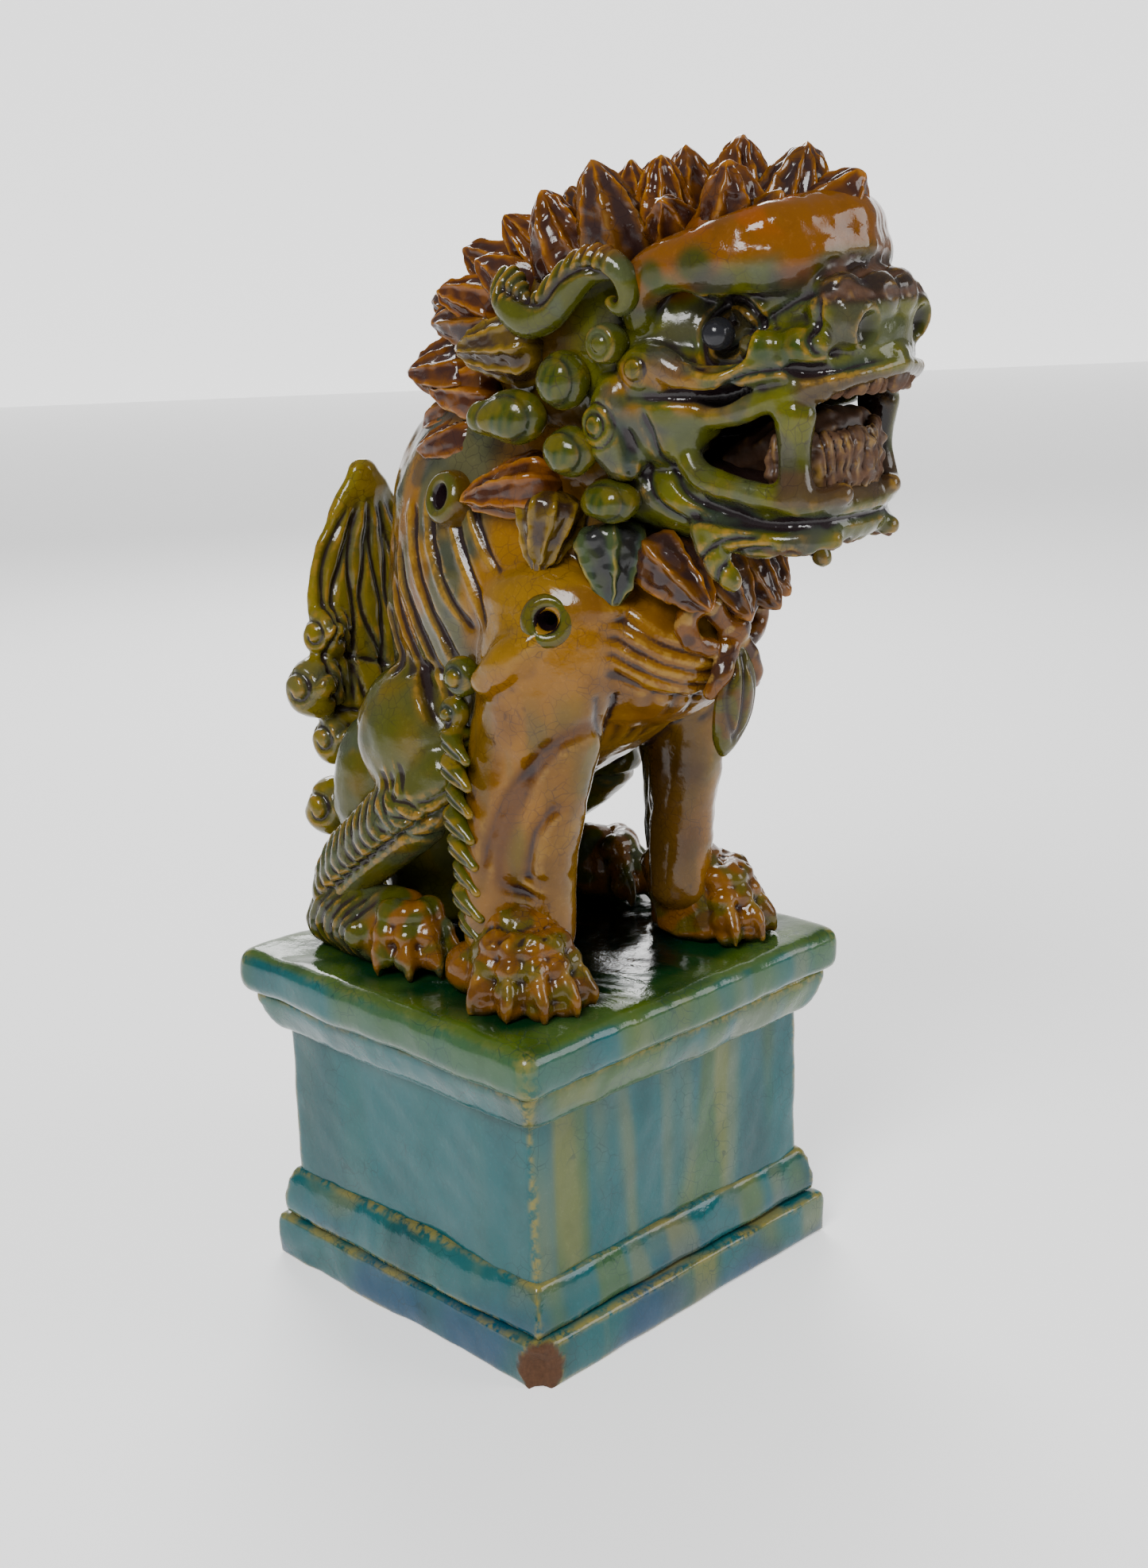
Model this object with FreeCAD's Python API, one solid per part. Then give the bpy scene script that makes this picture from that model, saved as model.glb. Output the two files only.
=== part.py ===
"""Glazed pottery guardian lion seated on a square plinth, with sockets for incense sticks.

The lion is hand built the way a potter builds it: slabs and strips for the plinth, two pressed halves for the
body, and legs, head, curls and trim that are shaped apart and luted on with slip. Each luted piece is a node.
Frame: millimetres, origin at the centre of the underside, +Z up, the body faces -Y, its right side is -X.
The head is made facing -Y round its own origin, then turned about the vertical and set over the neck.
"""
import FreeCAD, Part

import math
import os

V = FreeCAD.Vector

# ---- plinth ---------------------------------------------------------------------------------------------------
PLINTH_H = 78.5
SLAB_W, SLAB_D, SLAB_T = 101.0, 100.0, 11.0
BLOCK_W, BLOCK_D = 86.0, 83.0
WALL_T = 7.0
CORNICE_H, CORNICE_OUT_LOW, CORNICE_OUT_TOP = 9.0, 1.2, 4.6
FOOT_H, FOOT_OUT = 11.5, 5.4
TORUS_H, TORUS_OUT = 10.5, 3.3
EDGE_R = 5.0            # rounding of the slab's rim
VENT_R = 7.0            # firing vent through the slab, under the hollow body
CHIP_R = 9.0            # lost corner of the foot
SLAB_Z = PLINTH_H - SLAB_T

# ---- body: level, centre x, centre y, half width, half depth -----------------------------------------------------
TORSO = [
    (78.5, 0.0, 24.0, 21.0, 12.0),
    (92.0, 0.0, 24.0, 24.0, 14.5),
    (106.0, 0.0, 20.0, 26.0, 18.0),
    (119.0, 0.0, 12.0, 28.0, 25.0),
    (130.0, 0.0, 1.0, 29.0, 35.0),
    (141.0, 0.0, -9.0, 30.0, 43.0),
    (155.0, 0.0, -11.0, 31.0, 45.0),
    (170.0, 1.0, -10.0, 30.0, 41.0),
    (184.0, 2.0, -12.0, 27.0, 34.0),
    (196.0, 4.0, -16.0, 24.0, 29.0),
    (204.0, 5.0, -17.0, 17.0, 21.0),
    (208.0, 6.0, -18.0, 10.0, 13.0),
]
TORSO_TOP = 184.0
BODY_WALL = 6.0

# ---- front leg on the right side: level, centre x, centre y, half width, half depth -------------------------------
FRONT_LEG = [
    (96.0, -33.0, -32.0, 8.5, 11.0),
    (110.0, -33.0, -32.5, 8.5, 12.0),
    (124.0, -33.0, -34.0, 9.0, 14.5),
    (138.0, -32.0, -36.0, 10.0, 19.0),
    (153.0, -30.0, -35.0, 10.5, 21.0),
    (166.0, -26.5, -33.5, 8.5, 15.0),
    (173.0, -22.0, -32.0, 4.0, 8.0),
]
PAW_TOP = 98.0
CLAW_R = 2.6

# ---- head -------------------------------------------------------------------------------------------------------
HEAD_AT = V(2.0, -40.0, 0.0)
HEAD_TURN = 6.0         # degrees to the lion's left
SKULL = (0.0, -1.0, 213.5)          # across, forward, up
SKULL_R, SKULL_LONG = 25.5, 39.0
HEAD_WALL = 6.5
EYE = (19.0, 30.5, 216.5)
EYE_R = 3.8

# ---- harness -------------------------------------------------------------------------------------------------------
SOCKET_R, SOCKET_BOSS_R, SOCKET_DEPTH, BOSS_H = 2.2, 5.6, 4.0, 9.0
STRAP_W, STRAP_LEAN = 9.0, 34.5
# name, point where it is luted on the right shoulder or neck, outward direction
SOCKET_ROOT = 4.0  # how far a hole starts below the skin
STICK_ROOM, STICK_REACH = 0.5, 40.0  # clear air kept round a stick, and how far along it
SOCKETS = [
    ("front", V(-32.0, -43.8, 162.4), V(-0.8, -0.56, 0.22)),
    ("back", V(-25.5, -10.0, 184.0), V(-0.95, 0.12, 0.28)),
]


# ---- shared shapes --------------------------------------------------------------------------------------------------
def spheroid(centre, half_along, half_across, along=(0, 0, 1)):
    """A ball stretched or flattened along one direction, lofted through circles between two small flats."""
    wires = []
    for t in (-0.985, -0.9, -0.65, -0.3, 0.0, 0.3, 0.65, 0.9, 0.985):
        circle = Part.makeCircle(half_across * math.sqrt(1 - t * t), V(0, 0, half_along * t), V(0, 0, 1))
        wires.append(Part.Wire([circle]))
    shape = Part.makeLoft(wires, True, False)
    shape.Placement = FreeCAD.Placement(V(*centre), FreeCAD.Rotation(V(0, 0, 1), V(*along)))
    return shape


def ball(centre, radius):
    return spheroid(centre, radius, radius)


def oval(centre, across, up, half_a, half_u):
    """A closed smooth wire round centre, with half sizes along two directions."""
    points = []
    for k in range(12):
        a = 2 * math.pi * k / 12
        points.append(centre + across * (half_a * math.cos(a)) + up * (half_u * math.sin(a)))
    curve = Part.BSplineCurve()
    curve.interpolate(points, PeriodicFlag=True)
    return Part.Wire([curve.toShape()])


def stack(levels, grow=0.0):
    """A solid through level ovals: (z, centre x, centre y, half width, half depth)."""
    wires = [oval(V(x, y, z), V(1, 0, 0), V(0, 1, 0), a + grow, b + grow) for z, x, y, a, b in levels]
    return Part.makeLoft(wires, True, False)


def limb(stations, side=V(1, 0, 0)):
    """A solid through ovals square to a path. Stations: (point, half size along side, half size across it)."""
    points = [V(*s[0]) for s in stations]
    wires = []
    for i, (_, half_side, half_across) in enumerate(stations):
        along = points[min(i + 1, len(points) - 1)] - points[max(i - 1, 0)]
        along.normalize()
        across = along.cross(side)
        across.normalize()
        wires.append(oval(points[i], across.cross(along), across, half_side, half_across))
    return Part.makeLoft(wires, True, False)


def bud(tip, base, radius):
    """A pointed curl of hair: round at its base, drawn to a blunt point."""
    axis = tip - base
    length = axis.Length
    blunt = 0.16 * radius
    outline = [
        Part.Arc(V(0, 0, -0.35 * radius), V(0.75 * radius, 0, -0.1 * radius), V(radius, 0, 0.3 * length)).toShape(),
        Part.Arc(V(radius, 0, 0.3 * length), V(0.66 * radius, 0, 0.7 * length), V(blunt, 0, length)).toShape(),
        Part.makeLine(V(blunt, 0, length), V(0, 0, length)),
        Part.makeLine(V(0, 0, length), V(0, 0, -0.35 * radius)),
    ]
    shape = Part.Face(Part.Wire(outline)).revolve(V(0, 0, 0), V(0, 0, 1), 360)
    shape.Placement = FreeCAD.Placement(base, FreeCAD.Rotation(V(0, 0, 1), axis))
    return shape


def box(x0, x1, y0, y1, z0, z1):
    return Part.makeBox(x1 - x0, y1 - y0, z1 - z0, V(x0, y0, z0))


def seat(piece, *hosts):
    """Cuts a piece where it beds on its hosts, and keeps every real solid that is left."""
    left = piece
    for host in hosts:
        if left.Solids and host.Solids and left.BoundBox.intersect(host.BoundBox):
            left = left.cut(host)
    return Part.makeCompound([s for s in left.Solids if s.Volume > 4.0])


def group(shapes):
    return Part.makeCompound([s for shape in shapes for s in shape.Solids])


def mirrored(shape):
    """The lion's other side: a copy mirrored across its middle plane."""
    return shape.mirror(V(0, 0, 0), V(1, 0, 0))


def on_head(shape):
    """Carries a shape from the head's own frame, facing -Y, to the turned head."""
    out = shape.copy()
    out.rotate(V(0, 0, 0), V(0, 0, 1), HEAD_TURN)
    out.translate(HEAD_AT)
    return out


def head_point(across, forward, up):
    return V(across, -forward, up)


def head_ball(centre, half_along, half_across, along=(0, 1, 0)):
    return spheroid(head_point(*centre), half_along, half_across, along)


def save(name, shape):
    os.makedirs("parts", exist_ok=True)
    if not shape.Solids:
        print("EMPTY:", name)
        return
    shape = Part.makeCompound(shape.Solids) if len(shape.Solids) > 1 else shape.Solids[0]
    if not shape.isValid():
        print("NOT VALID:", name)
    shape.exportStep("parts/" + name + ".step")
    b = shape.BoundBox
    print(f"{name}: {len(shape.Solids)} solid(s), {shape.Volume / 1000:.1f} cm3, z {b.ZMin:.1f} to {b.ZMax:.1f}")


# ---- plinth -----------------------------------------------------------------------------------------------------
def strip(height, low_out, top_out, z, rounding):
    """A moulding strip luted round the outside of the plinth's walls."""
    def loop(out, level):
        w, d = BLOCK_W / 2 + out, BLOCK_D / 2 + out
        return Part.makePolygon([V(-w, -d, level), V(w, -d, level), V(w, d, level), V(-w, d, level), V(-w, -d, level)])
    solid = Part.makeLoft([loop(low_out, z), loop(top_out, z + height)], True, True)
    if rounding:
        outer = [e for e in solid.Edges if e.BoundBox.ZLength < 0.01]
        solid = solid.makeFillet(rounding, outer)
    core = box(-BLOCK_W / 2, BLOCK_W / 2, -BLOCK_D / 2, BLOCK_D / 2, z - 1, z + height + 1)
    return solid.cut(core)


def plinth():
    w, d = BLOCK_W / 2, BLOCK_D / 2
    slab = box(-SLAB_W / 2, SLAB_W / 2, -SLAB_D / 2, SLAB_D / 2, SLAB_Z, PLINTH_H)
    slab = slab.makeFillet(EDGE_R, [e for e in slab.Edges if e.BoundBox.ZLength > 1])
    slab = slab.makeFillet(EDGE_R - 0.4, [e for e in slab.Edges if e.BoundBox.ZLength < 0.01])
    slab = slab.cut(Part.makeCylinder(VENT_R, SLAB_T + 2, V(0, TORSO[0][2], SLAB_Z - 1)))
    foot = strip(FOOT_H, FOOT_OUT, FOOT_OUT, 0.0, 2.4)
    foot = foot.cut(Part.makeSphere(CHIP_R, V(-w - FOOT_OUT - 3.5, -d - FOOT_OUT - 3.5, 3.0)))
    return {
        "plinth_top_slab": slab,
        "plinth_cornice": strip(CORNICE_H, CORNICE_OUT_LOW, CORNICE_OUT_TOP, SLAB_Z - CORNICE_H, 0),
        "plinth_wall_front": box(-w, w, -d, -d + WALL_T, 0, SLAB_Z),
        "plinth_wall_back": box(-w, w, d - WALL_T, d, 0, SLAB_Z),
        "plinth_wall_left": box(w - WALL_T, w, -d + WALL_T, d - WALL_T, 0, SLAB_Z),
        "plinth_wall_right": box(-w, -w + WALL_T, -d + WALL_T, d - WALL_T, 0, SLAB_Z),
        "plinth_torus_moulding": strip(TORUS_H, TORUS_OUT, TORUS_OUT, FOOT_H, 3.0),
        "plinth_foot_moulding": foot,
    }


# ---- body -------------------------------------------------------------------------------------------------------
def socket_bores(radius=SOCKET_R, reach=SOCKET_DEPTH + BOSS_H):
    """The four stick holes, as solids that are taken out of whatever they enter."""
    right = []
    for _, point, out in SOCKETS:
        way = V(out).normalize()
        right.append(Part.makeCylinder(radius, reach, point - way * SOCKET_ROOT, way))
    return group(right + [mirrored(bore) for bore in right])


def body(skull):
    outer = stack(TORSO)
    inner = stack([(z, x, y, a - BODY_WALL, b - BODY_WALL) for z, x, y, a, b in TORSO])
    reach = 90.0
    below = box(-reach, reach, -reach, reach, PLINTH_H - 5, TORSO_TOP)
    above = box(-reach, reach, -reach, reach, TORSO_TOP, TORSO_TOP + 20)
    shell = outer.cut(inner)
    lower = shell.cut(socket_bores()).common(below)
    made = {
        "torso_right_half": lower.common(box(-reach, 0, -reach, reach, 60, 210)),
        "torso_left_half": lower.common(box(0, reach, -reach, reach, 60, 210)),
        "neck_ring": seat(shell.common(above), skull),
    }
    crest = limb([
        ((0, 36.5, 118), 2.0, 2.0), ((0, 37.0, 135), 3.4, 3.0), ((0, 35.0, 155), 3.8, 3.2),
        ((1, 32.0, 170), 3.8, 3.2), ((2, 24.0, 184), 3.2, 2.6), ((3, 17.0, 192), 2.2, 2.0),
    ])
    made["spine_crest"] = seat(crest, outer, skull)
    return outer, made


def collar(outer, skull, shoulders, crest):
    """The harness: a strap round the base of the neck, four bosses bored for incense sticks, a bow and pendant."""
    grown = stack(TORSO, 2.6)
    band = box(-60, 60, -70, 60, -STRAP_W / 2, STRAP_W / 2)
    band.rotate(V(0, 0, 0), V(1, 0, 0), STRAP_LEAN)
    band.translate(V(0, -18.0, 178.0))
    bosses = {}
    for label, point, out in SOCKETS:
        way = V(out).normalize()
        boss = Part.makeCylinder(SOCKET_BOSS_R, BOSS_H, point - way * SOCKET_ROOT, way)
        rim = [e for e in boss.Edges if e.Closed and (e.CenterOfMass - (point + way * (BOSS_H - SOCKET_ROOT))).Length < 0.1]
        boss = boss.makeFillet(1.6, rim)
        boss = seat(boss.cut(socket_bores()), outer, *shoulders)
        bosses["socket_boss_right_" + label] = boss
        bosses["socket_boss_left_" + label] = mirrored(boss)
    strap = seat(grown.common(band), outer, skull, *bosses.values(), *shoulders, crest)
    knot = ball((1.0, -57.0, 156.5), 4.0)
    loops = [seat(spheroid((1.0 + side * 6.0, -56.5, 155.5), 4.6, 3.5, (1, 0, 0)), knot, outer) for side in (-1, 1)]
    bow = group([seat(knot, outer), *loops])
    pendant = limb([
        ((1.0, -56.0, 154.0), 3.2, 2.6), ((1.0, -57.5, 148.0), 5.4, 4.2),
        ((1.0, -56.5, 141.0), 5.2, 4.2), ((1.0, -55.0, 134.0), 2.4, 2.2),
    ])
    pendant = seat(pendant, outer, knot, *loops)
    return {**bosses, "collar_strap": seat(strap, bow, pendant), "collar_bow": bow, "collar_pendant": pendant}


def paw(centre, half_w, half_d, top, toes):
    """A paw with its toes as rounded lobes along the front, standing on the slab."""
    x, y = centre
    half_h = (top - PLINTH_H) * 0.75
    core = spheroid((x, y, PLINTH_H + half_h * 0.35), half_h, half_w, (0, 0, 1))
    for k in range(toes):
        across = (k - (toes - 1) / 2) / (toes - 1)
        drop = abs(across) * 2 * 3.0
        lobe = spheroid((x + across * half_w * 1.55, y - half_d * 0.62 + drop, PLINTH_H + 4.6), 7.5, 5.4, (0, 1, 0))
        core = core.fuse(lobe)
    return core.common(box(-70, 70, -90, 70, PLINTH_H, top))


def claws(centre, half_w, half_d, toes):
    """Hooked nails, one on each toe, points down on the slab."""
    x, y = centre
    made = []
    for k in range(toes):
        across = (k - (toes - 1) / 2) / (toes - 1)
        drop = abs(across) * 2 * 3.0
        root = V(x + across * half_w * 1.55, y - half_d * 0.62 + drop - 4.6, PLINTH_H + 8.0)
        tip = root + V(across * 1.5, -4.6, -7.0)
        made.append(bud(tip, root, CLAW_R))
    return made


def legs(outer, slab):
    made = {}
    leg = seat(stack(FRONT_LEG).cut(socket_bores()), outer)
    front_at, front_size = (-32.0, -34.0), (13.0, 14.0)
    front_paw = seat(paw(front_at, *front_size, PAW_TOP, 4), slab, leg)
    front_claws = seat(group(claws(front_at, *front_size, 4)), front_paw, slab)
    fringe = []
    for k in range(9):
        z = 97.0 + 6.3 * k
        y = -20.5 + 1.2 * math.sin(k * 1.7) + max(0, z - 128) * 0.06
        fringe.append(ball((-34.5 + (k % 2) * 1.2, y, z), 3.4 + 0.3 * (k % 2)))
    fringe = [seat(curl, outer, leg, front_paw) for curl in fringe]
    knob = spheroid((-38.5, -37.0, 150.0), 7.4, 5.6, (0, -0.3, 1))
    haunch = seat(spheroid((-26.5, 7.5, 130.0), 14.5, 19.5, (1, 0, 0)), outer, leg)
    shin = limb([
        ((-32.0, -5.0, 126.0), 6.0, 6.5), ((-33.5, 4.0, 116.5), 8.0, 8.5), ((-34.5, 16.0, 106.5), 7.5, 8.0),
        ((-35.5, 27.0, 98.0), 6.0, 6.5), ((-36.0, 34.0, 91.0), 5.4, 5.6),
    ])
    shin = seat(shin, haunch, outer)
    foot = limb([
        ((-36.5, 40.0, 84.0), 4.0, 5.0), ((-36.5, 34.0, 85.0), 7.0, 8.0), ((-36.5, 22.0, 84.5), 7.5, 8.2),
        ((-36.0, 10.0, 84.5), 8.5, 9.2), ((-35.5, 0.0, 85.0), 11.0, 11.0), ((-35.5, -9.0, 84.5), 10.5, 10.0),
        ((-35.0, -14.5, 83.0), 6.0, 5.5),
    ])
    foot = seat(foot, slab, shin, front_paw)
    foot = seat(foot, box(-70, 70, -90, 70, 50, PLINTH_H))
    hind_claws = seat(group(claws((-35.5, -4.0), 10.0, 9.0, 4)), foot, slab, front_paw)
    right = {
        "front_leg": leg, "front_paw": front_paw, "front_claws": front_claws, "leg_fringe": group(fringe),
        "shoulder_knob": seat(knob, leg, outer), "haunch": haunch, "hind_shin": shin, "hind_foot": foot,
        "hind_claws": hind_claws,
    }
    for name, shape in right.items():
        if name in ("front_claws", "hind_claws", "shoulder_knob"):
            made[name + "s" * name.endswith("knob")] = group([shape, mirrored(shape)])
        else:
            made[name + "_right"] = shape
            made[name + "_left"] = mirrored(shape)
    return made


def tail(outer, slab, crest, haunches):
    plume = stack([
        (90.0, -6.0, 36.0, 7.0, 8.0), (104.0, -6.0, 40.0, 11.0, 10.0), (120.0, -5.0, 44.0, 12.0, 12.0),
        (134.0, -5.0, 47.5, 12.5, 13.5), (146.0, -5.0, 49.5, 13.0, 15.0),
        (158.0, -6.0, 50.0, 12.5, 15.0), (172.0, -6.0, 49.0, 9.0, 12.0), (181.0, -6.0, 47.5, 5.5, 7.5),
        (187.0, -6.0, 46.0, 2.2, 3.0),
    ])
    plume = seat(plume, outer, crest)
    curls = []
    for x, y, z, r in ((-17, 56, 139, 7.0), (7, 56, 139, 7.0), (-15, 53, 127, 6.5), (5, 53, 127, 6.5),
                       (-5, 63, 148, 6.5), (-15, 48, 109, 6.5), (3, 48, 109, 6.5), (-13, 42, 95, 5.5),
                       (1, 42, 95, 5.5), (-5, 57, 119, 6.5)):
        curls.append(seat(ball((x, y, z), r), outer, plume, *haunches))
    return {"tail_plume": plume, "tail_curls": group(curls)}


# ---- head -------------------------------------------------------------------------------------------------------
def head():
    """Every head piece, made facing -Y. Right-hand pieces are mirrored for the left."""
    skull_solid = head_ball(SKULL, SKULL_LONG, SKULL_R)
    forehead = head_ball((0.0, 29.0, 228.5), 12.0, 22.0, (0, 0, 1))
    cavity = head_ball(SKULL, SKULL_LONG - HEAD_WALL, SKULL_R - HEAD_WALL)
    mouth = limb([
        ((0, -12, 194), 11.0, 6.0), ((0, -26, 194.5), 13.0, 6.2), ((0, -42, 198), 13.5, 6.0), ((0, -66, 201), 14.0, 6.0),
    ])
    eye_space = [ball(head_point(side * EYE[0], EYE[1], EYE[2]), 6.2) for side in (-1, 1)]
    full = skull_solid.fuse(forehead)
    skull = full.cut(cavity).cut(mouth)
    for space in eye_space:
        skull = skull.cut(space)
    snout = limb([
        ((0, -22, 210), 20.0, 11.0), ((0, -34, 211.5), 18.0, 10.0), ((0, -45, 215), 16.0, 9.6),
        ((0, -54, 217.5), 14.5, 9.2), ((0, -58.5, 218), 12.0, 6.8),
    ])
    snout = seat(snout, full, mouth, *eye_space)
    jaw = limb([
        ((0, -6, 187), 20.0, 13.0), ((0, -18, 183), 18.5, 11.5), ((0, -30, 182), 17.0, 9.5),
        ((0, -42, 183), 16.0, 8.4), ((0, -50, 184), 15.0, 7.4),
    ])
    jaw = seat(jaw, full, mouth)
    nose = head_ball((0.0, 55.0, 222.0), 11.5, 6.0, (1, 0, 0))
    for side in (-1, 1):
        nose = nose.cut(ball(head_point(side * 6.5, 60.0, 220.5), 2.8))
    nose = seat(nose, snout)
    upper, lower = [], []
    for k in range(9):
        a = math.radians(-80 + 20 * k)
        across, forward = 13.6 * math.sin(a), 42.0 + 12.0 * math.cos(a)
        upper.append(Part.makeCone(1.3, 1.9, 7.0, head_point(across, forward, 203.0)))
        across, forward = 12.6 * math.sin(a), 38.0 + 10.0 * math.cos(a)
        lower.append(Part.makeCone(1.8, 1.2, 6.5, head_point(across, forward, 188.5)))
    fangs = [Part.makeCylinder(2.8, 19.0, head_point(side * 14.2, 43.0, 187.0)) for side in (-1, 1)]
    fangs = [seat(fang, snout, jaw, full) for fang in fangs]
    tongue = seat(limb([
        ((0, -18, 190), 5.0, 2.6), ((0, -28, 190.5), 7.5, 3.2), ((0, -40, 190.5), 7.0, 2.8), ((0, -45, 190.5), 3.5, 2.0),
    ]), jaw, full)
    pieces = {
        "head_shell": skull, "snout": snout, "nose": nose, "lower_jaw": jaw, "tongue": tongue,
        "upper_teeth": seat(group(upper), snout, *fangs), "lower_teeth": seat(group(lower), jaw, tongue, *fangs),
        "fangs": group(fangs),
    }
    right = {}
    eye_at = (-EYE[0] + 0.6, EYE[1], EYE[2])
    right["eyeball"] = seat(ball(head_point(*eye_at), EYE_R), skull, snout)
    brow = limb([
        (head_point(-20.0, 14.0, 221.0), 4.0, 4.0), (head_point(-21.0, 21.0, 226.5), 5.0, 5.0),
        (head_point(-19.0, 34.0, 228.5), 5.2, 5.0), (head_point(-13.0, 46.0, 227.5), 4.2, 4.0),
    ])
    right["brow"] = seat(brow, full, snout, right["eyeball"])
    ear = limb([
        (head_point(-25.5, -19.0, 225.5), 3.6, 2.2), (head_point(-27.0, -13.0, 219.5), 4.6, 3.8),
        (head_point(-27.5, -6.0, 225.0), 4.8, 4.2), (head_point(-27.0, 1.0, 230.5), 4.4, 4.0),
        (head_point(-26.5, 7.5, 227.5), 4.0, 3.4), (head_point(-26.0, 7.5, 222.0), 3.2, 2.4),
    ])
    right["ear"] = seat(ear, full)
    bosses = [((-22.0, 16.0, 210.0), 5.2), ((-22.5, 6.5, 201.0), 6.2), ((-17.0, 39.0, 214.0), 3.8),
              ((-15.5, 46.0, 213.8), 4.8)]
    right["cheek_bosses"] = group([seat(ball(head_point(*c), r), full, snout) for c, r in bosses])
    tufts = [((-24.5, -4.0, 208.0), 5.4), ((-23.0, -18.0, 200.0), 6.4), ((-23.0, -4.0, 195.0), 5.6),
             ((-20.5, 0.5, 184.5), 5.4), ((-24.0, -18.0, 214.5), 5.6)]
    right["side_tufts"] = group([seat(ball(head_point(*c), r), full, jaw) for c, r in tufts])
    beard = limb([
        (head_point(-16.5, 26.0, 177.5), 2.6, 5.0), (head_point(-16.5, 32.0, 175.0), 2.8, 4.6),
        (head_point(-15.5, 41.0, 177.0), 2.4, 3.6), (head_point(-14.0, 48.0, 178.5), 2.0, 2.4),
    ])
    right["beard"] = seat(beard, jaw, full)
    for name, shape in right.items():
        if name in ("cheek_bosses", "side_tufts", "beard"):
            pieces[name] = group([shape, mirrored(shape)])
        else:
            pieces[name + "_right"] = shape
            pieces[name + "_left"] = mirrored(shape)
    pieces.update(mane(full, [right["ear"], mirrored(right["ear"]), right["brow"], mirrored(right["brow"])]))
    return full, {name: on_head(shape) for name, shape in pieces.items()}


def mane(full, trims):
    """Rows of pointed curls over the crown and nape. Each row is a slice across the head, front to back."""
    centre = head_point(*SKULL)
    rows = {"crown_row": 0.0, "upper_row": 27.0, "side_row": 52.0}
    made = {}
    for name, lean in rows.items():
        for side in (-1, 1) if lean else (1,):
            curls = []
            first = 38.0 if lean < 40 else 78.0
            count = 9 if lean < 40 else 6
            for k in range(count):
                turn = math.radians(first + 21.0 * k + (10.0 if lean == 27.0 else 0.0))
                tilt = math.radians(lean) * side
                way = V(math.sin(tilt), -math.cos(turn) * math.cos(tilt), math.sin(turn) * math.cos(tilt))
                root = centre + V(way.x * SKULL_R, way.y * SKULL_LONG, way.z * SKULL_R) * 0.93
                size = 7.2 if lean < 40 else 6.6
                curls.append(seat(bud(root + way * 15.5, root, size), full, *trims))
            label = "mane_" + name + ("" if not lean else "_right" if side < 0 else "_left")
            made[label] = group(curls)
    return made


def ruff(outer, taken):
    """Large ribbed buds that hang in a ring round the base of the neck."""
    curls = []
    for k in range(10):
        a = math.radians(-162 + 36 * k)
        root = V(3 + 24 * math.sin(a), -27 - 26 * math.cos(a), 186 - 18 * math.cos(a))
        tip = root + V(7.5 * math.sin(a), -7.5 * math.cos(a), -11.0)
        curls.append(seat(bud(tip, root, 6.8), outer, *taken))
    return {"neck_ruff": group([c for c in curls if c.Solids])}


def main():
    nodes = plinth()
    slab = nodes["plinth_top_slab"]
    full_head, head_pieces = head()
    skull = on_head(full_head)
    outer, trunk = body(skull)
    nodes.update(trunk)
    limbs = legs(outer, slab)
    nodes.update(limbs)
    nodes.update(tail(outer, slab, trunk["spine_crest"], [limbs["haunch_right"], limbs["haunch_left"]]))
    shoulders = [limbs["front_leg_right"], limbs["front_leg_left"]]
    harness = collar(outer, skull, shoulders, trunk["spine_crest"])
    nodes.update(harness)
    nodes.update(head_pieces)
    taken = [skull, head_pieces["lower_jaw"], *harness.values(), trunk["spine_crest"], *shoulders]
    taken += [head_pieces[n] for n in head_pieces if n.startswith(("side_tufts", "beard"))]
    nodes.update(ruff(outer, taken))
    stick_room = socket_bores(SOCKET_R + STICK_ROOM, STICK_REACH)
    for name in ("collar_strap", "neck_ring"):
        nodes[name] = nodes[name].cut(stick_room)
    for name, shape in nodes.items():
        save(name, shape)
    print(len(nodes), "nodes")


main()
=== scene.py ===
import math

import bmesh
import bpy
import numpy as np
from mathutils import Euler, Matrix, Vector


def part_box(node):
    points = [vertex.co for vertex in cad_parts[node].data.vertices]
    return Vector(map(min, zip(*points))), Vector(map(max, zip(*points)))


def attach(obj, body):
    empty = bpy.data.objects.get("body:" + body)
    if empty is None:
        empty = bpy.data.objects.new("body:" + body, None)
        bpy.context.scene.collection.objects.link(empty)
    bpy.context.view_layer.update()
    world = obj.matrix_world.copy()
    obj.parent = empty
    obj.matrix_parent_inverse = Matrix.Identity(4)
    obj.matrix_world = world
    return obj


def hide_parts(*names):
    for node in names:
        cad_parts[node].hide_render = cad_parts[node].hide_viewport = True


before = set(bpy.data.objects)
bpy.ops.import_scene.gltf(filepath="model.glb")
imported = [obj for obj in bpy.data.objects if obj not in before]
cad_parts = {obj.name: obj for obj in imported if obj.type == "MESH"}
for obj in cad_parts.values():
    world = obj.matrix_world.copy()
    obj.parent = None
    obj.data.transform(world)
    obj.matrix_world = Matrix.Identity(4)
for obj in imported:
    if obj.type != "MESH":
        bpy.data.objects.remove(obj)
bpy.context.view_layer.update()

# ---- top slab of the plinth ----------------------------------------------------------------------
# A thick slab of clay, cut to size by hand, so its edges waver and its rim is soft. It is laid on the plinth's walls
# with slip. Turquoise glaze runs over the rim, a deep green pool has settled between the paws, and painted shadow
# darkens the middle of the top, under the lion, nearly to black.
MM = 0.001
SLAB_LOW, SLAB_HIGH = (np.array(corner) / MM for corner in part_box("plinth_top_slab"))
SLAB_VOXEL = 0.8


PAINTED_DARKENING, SATURATION_BOOST = 0.5, 1.35  # painted shade: every colour is halved to offset the bright lamps and world, and its saturation raised to offset the haze of reflections


def shade(red, green, blue):
    """A colour mixed in 0 to 255, as the linear values that a surface takes."""
    mixed = np.array((red, green, blue)) / 255
    colour = PAINTED_DARKENING * np.where(mixed <= 0.04045, mixed / 12.92, ((mixed + 0.055) / 1.055) ** 2.4)
    return np.clip(colour.mean() + SATURATION_BOOST * (colour - colour.mean()), 0.0015, 1)


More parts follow.
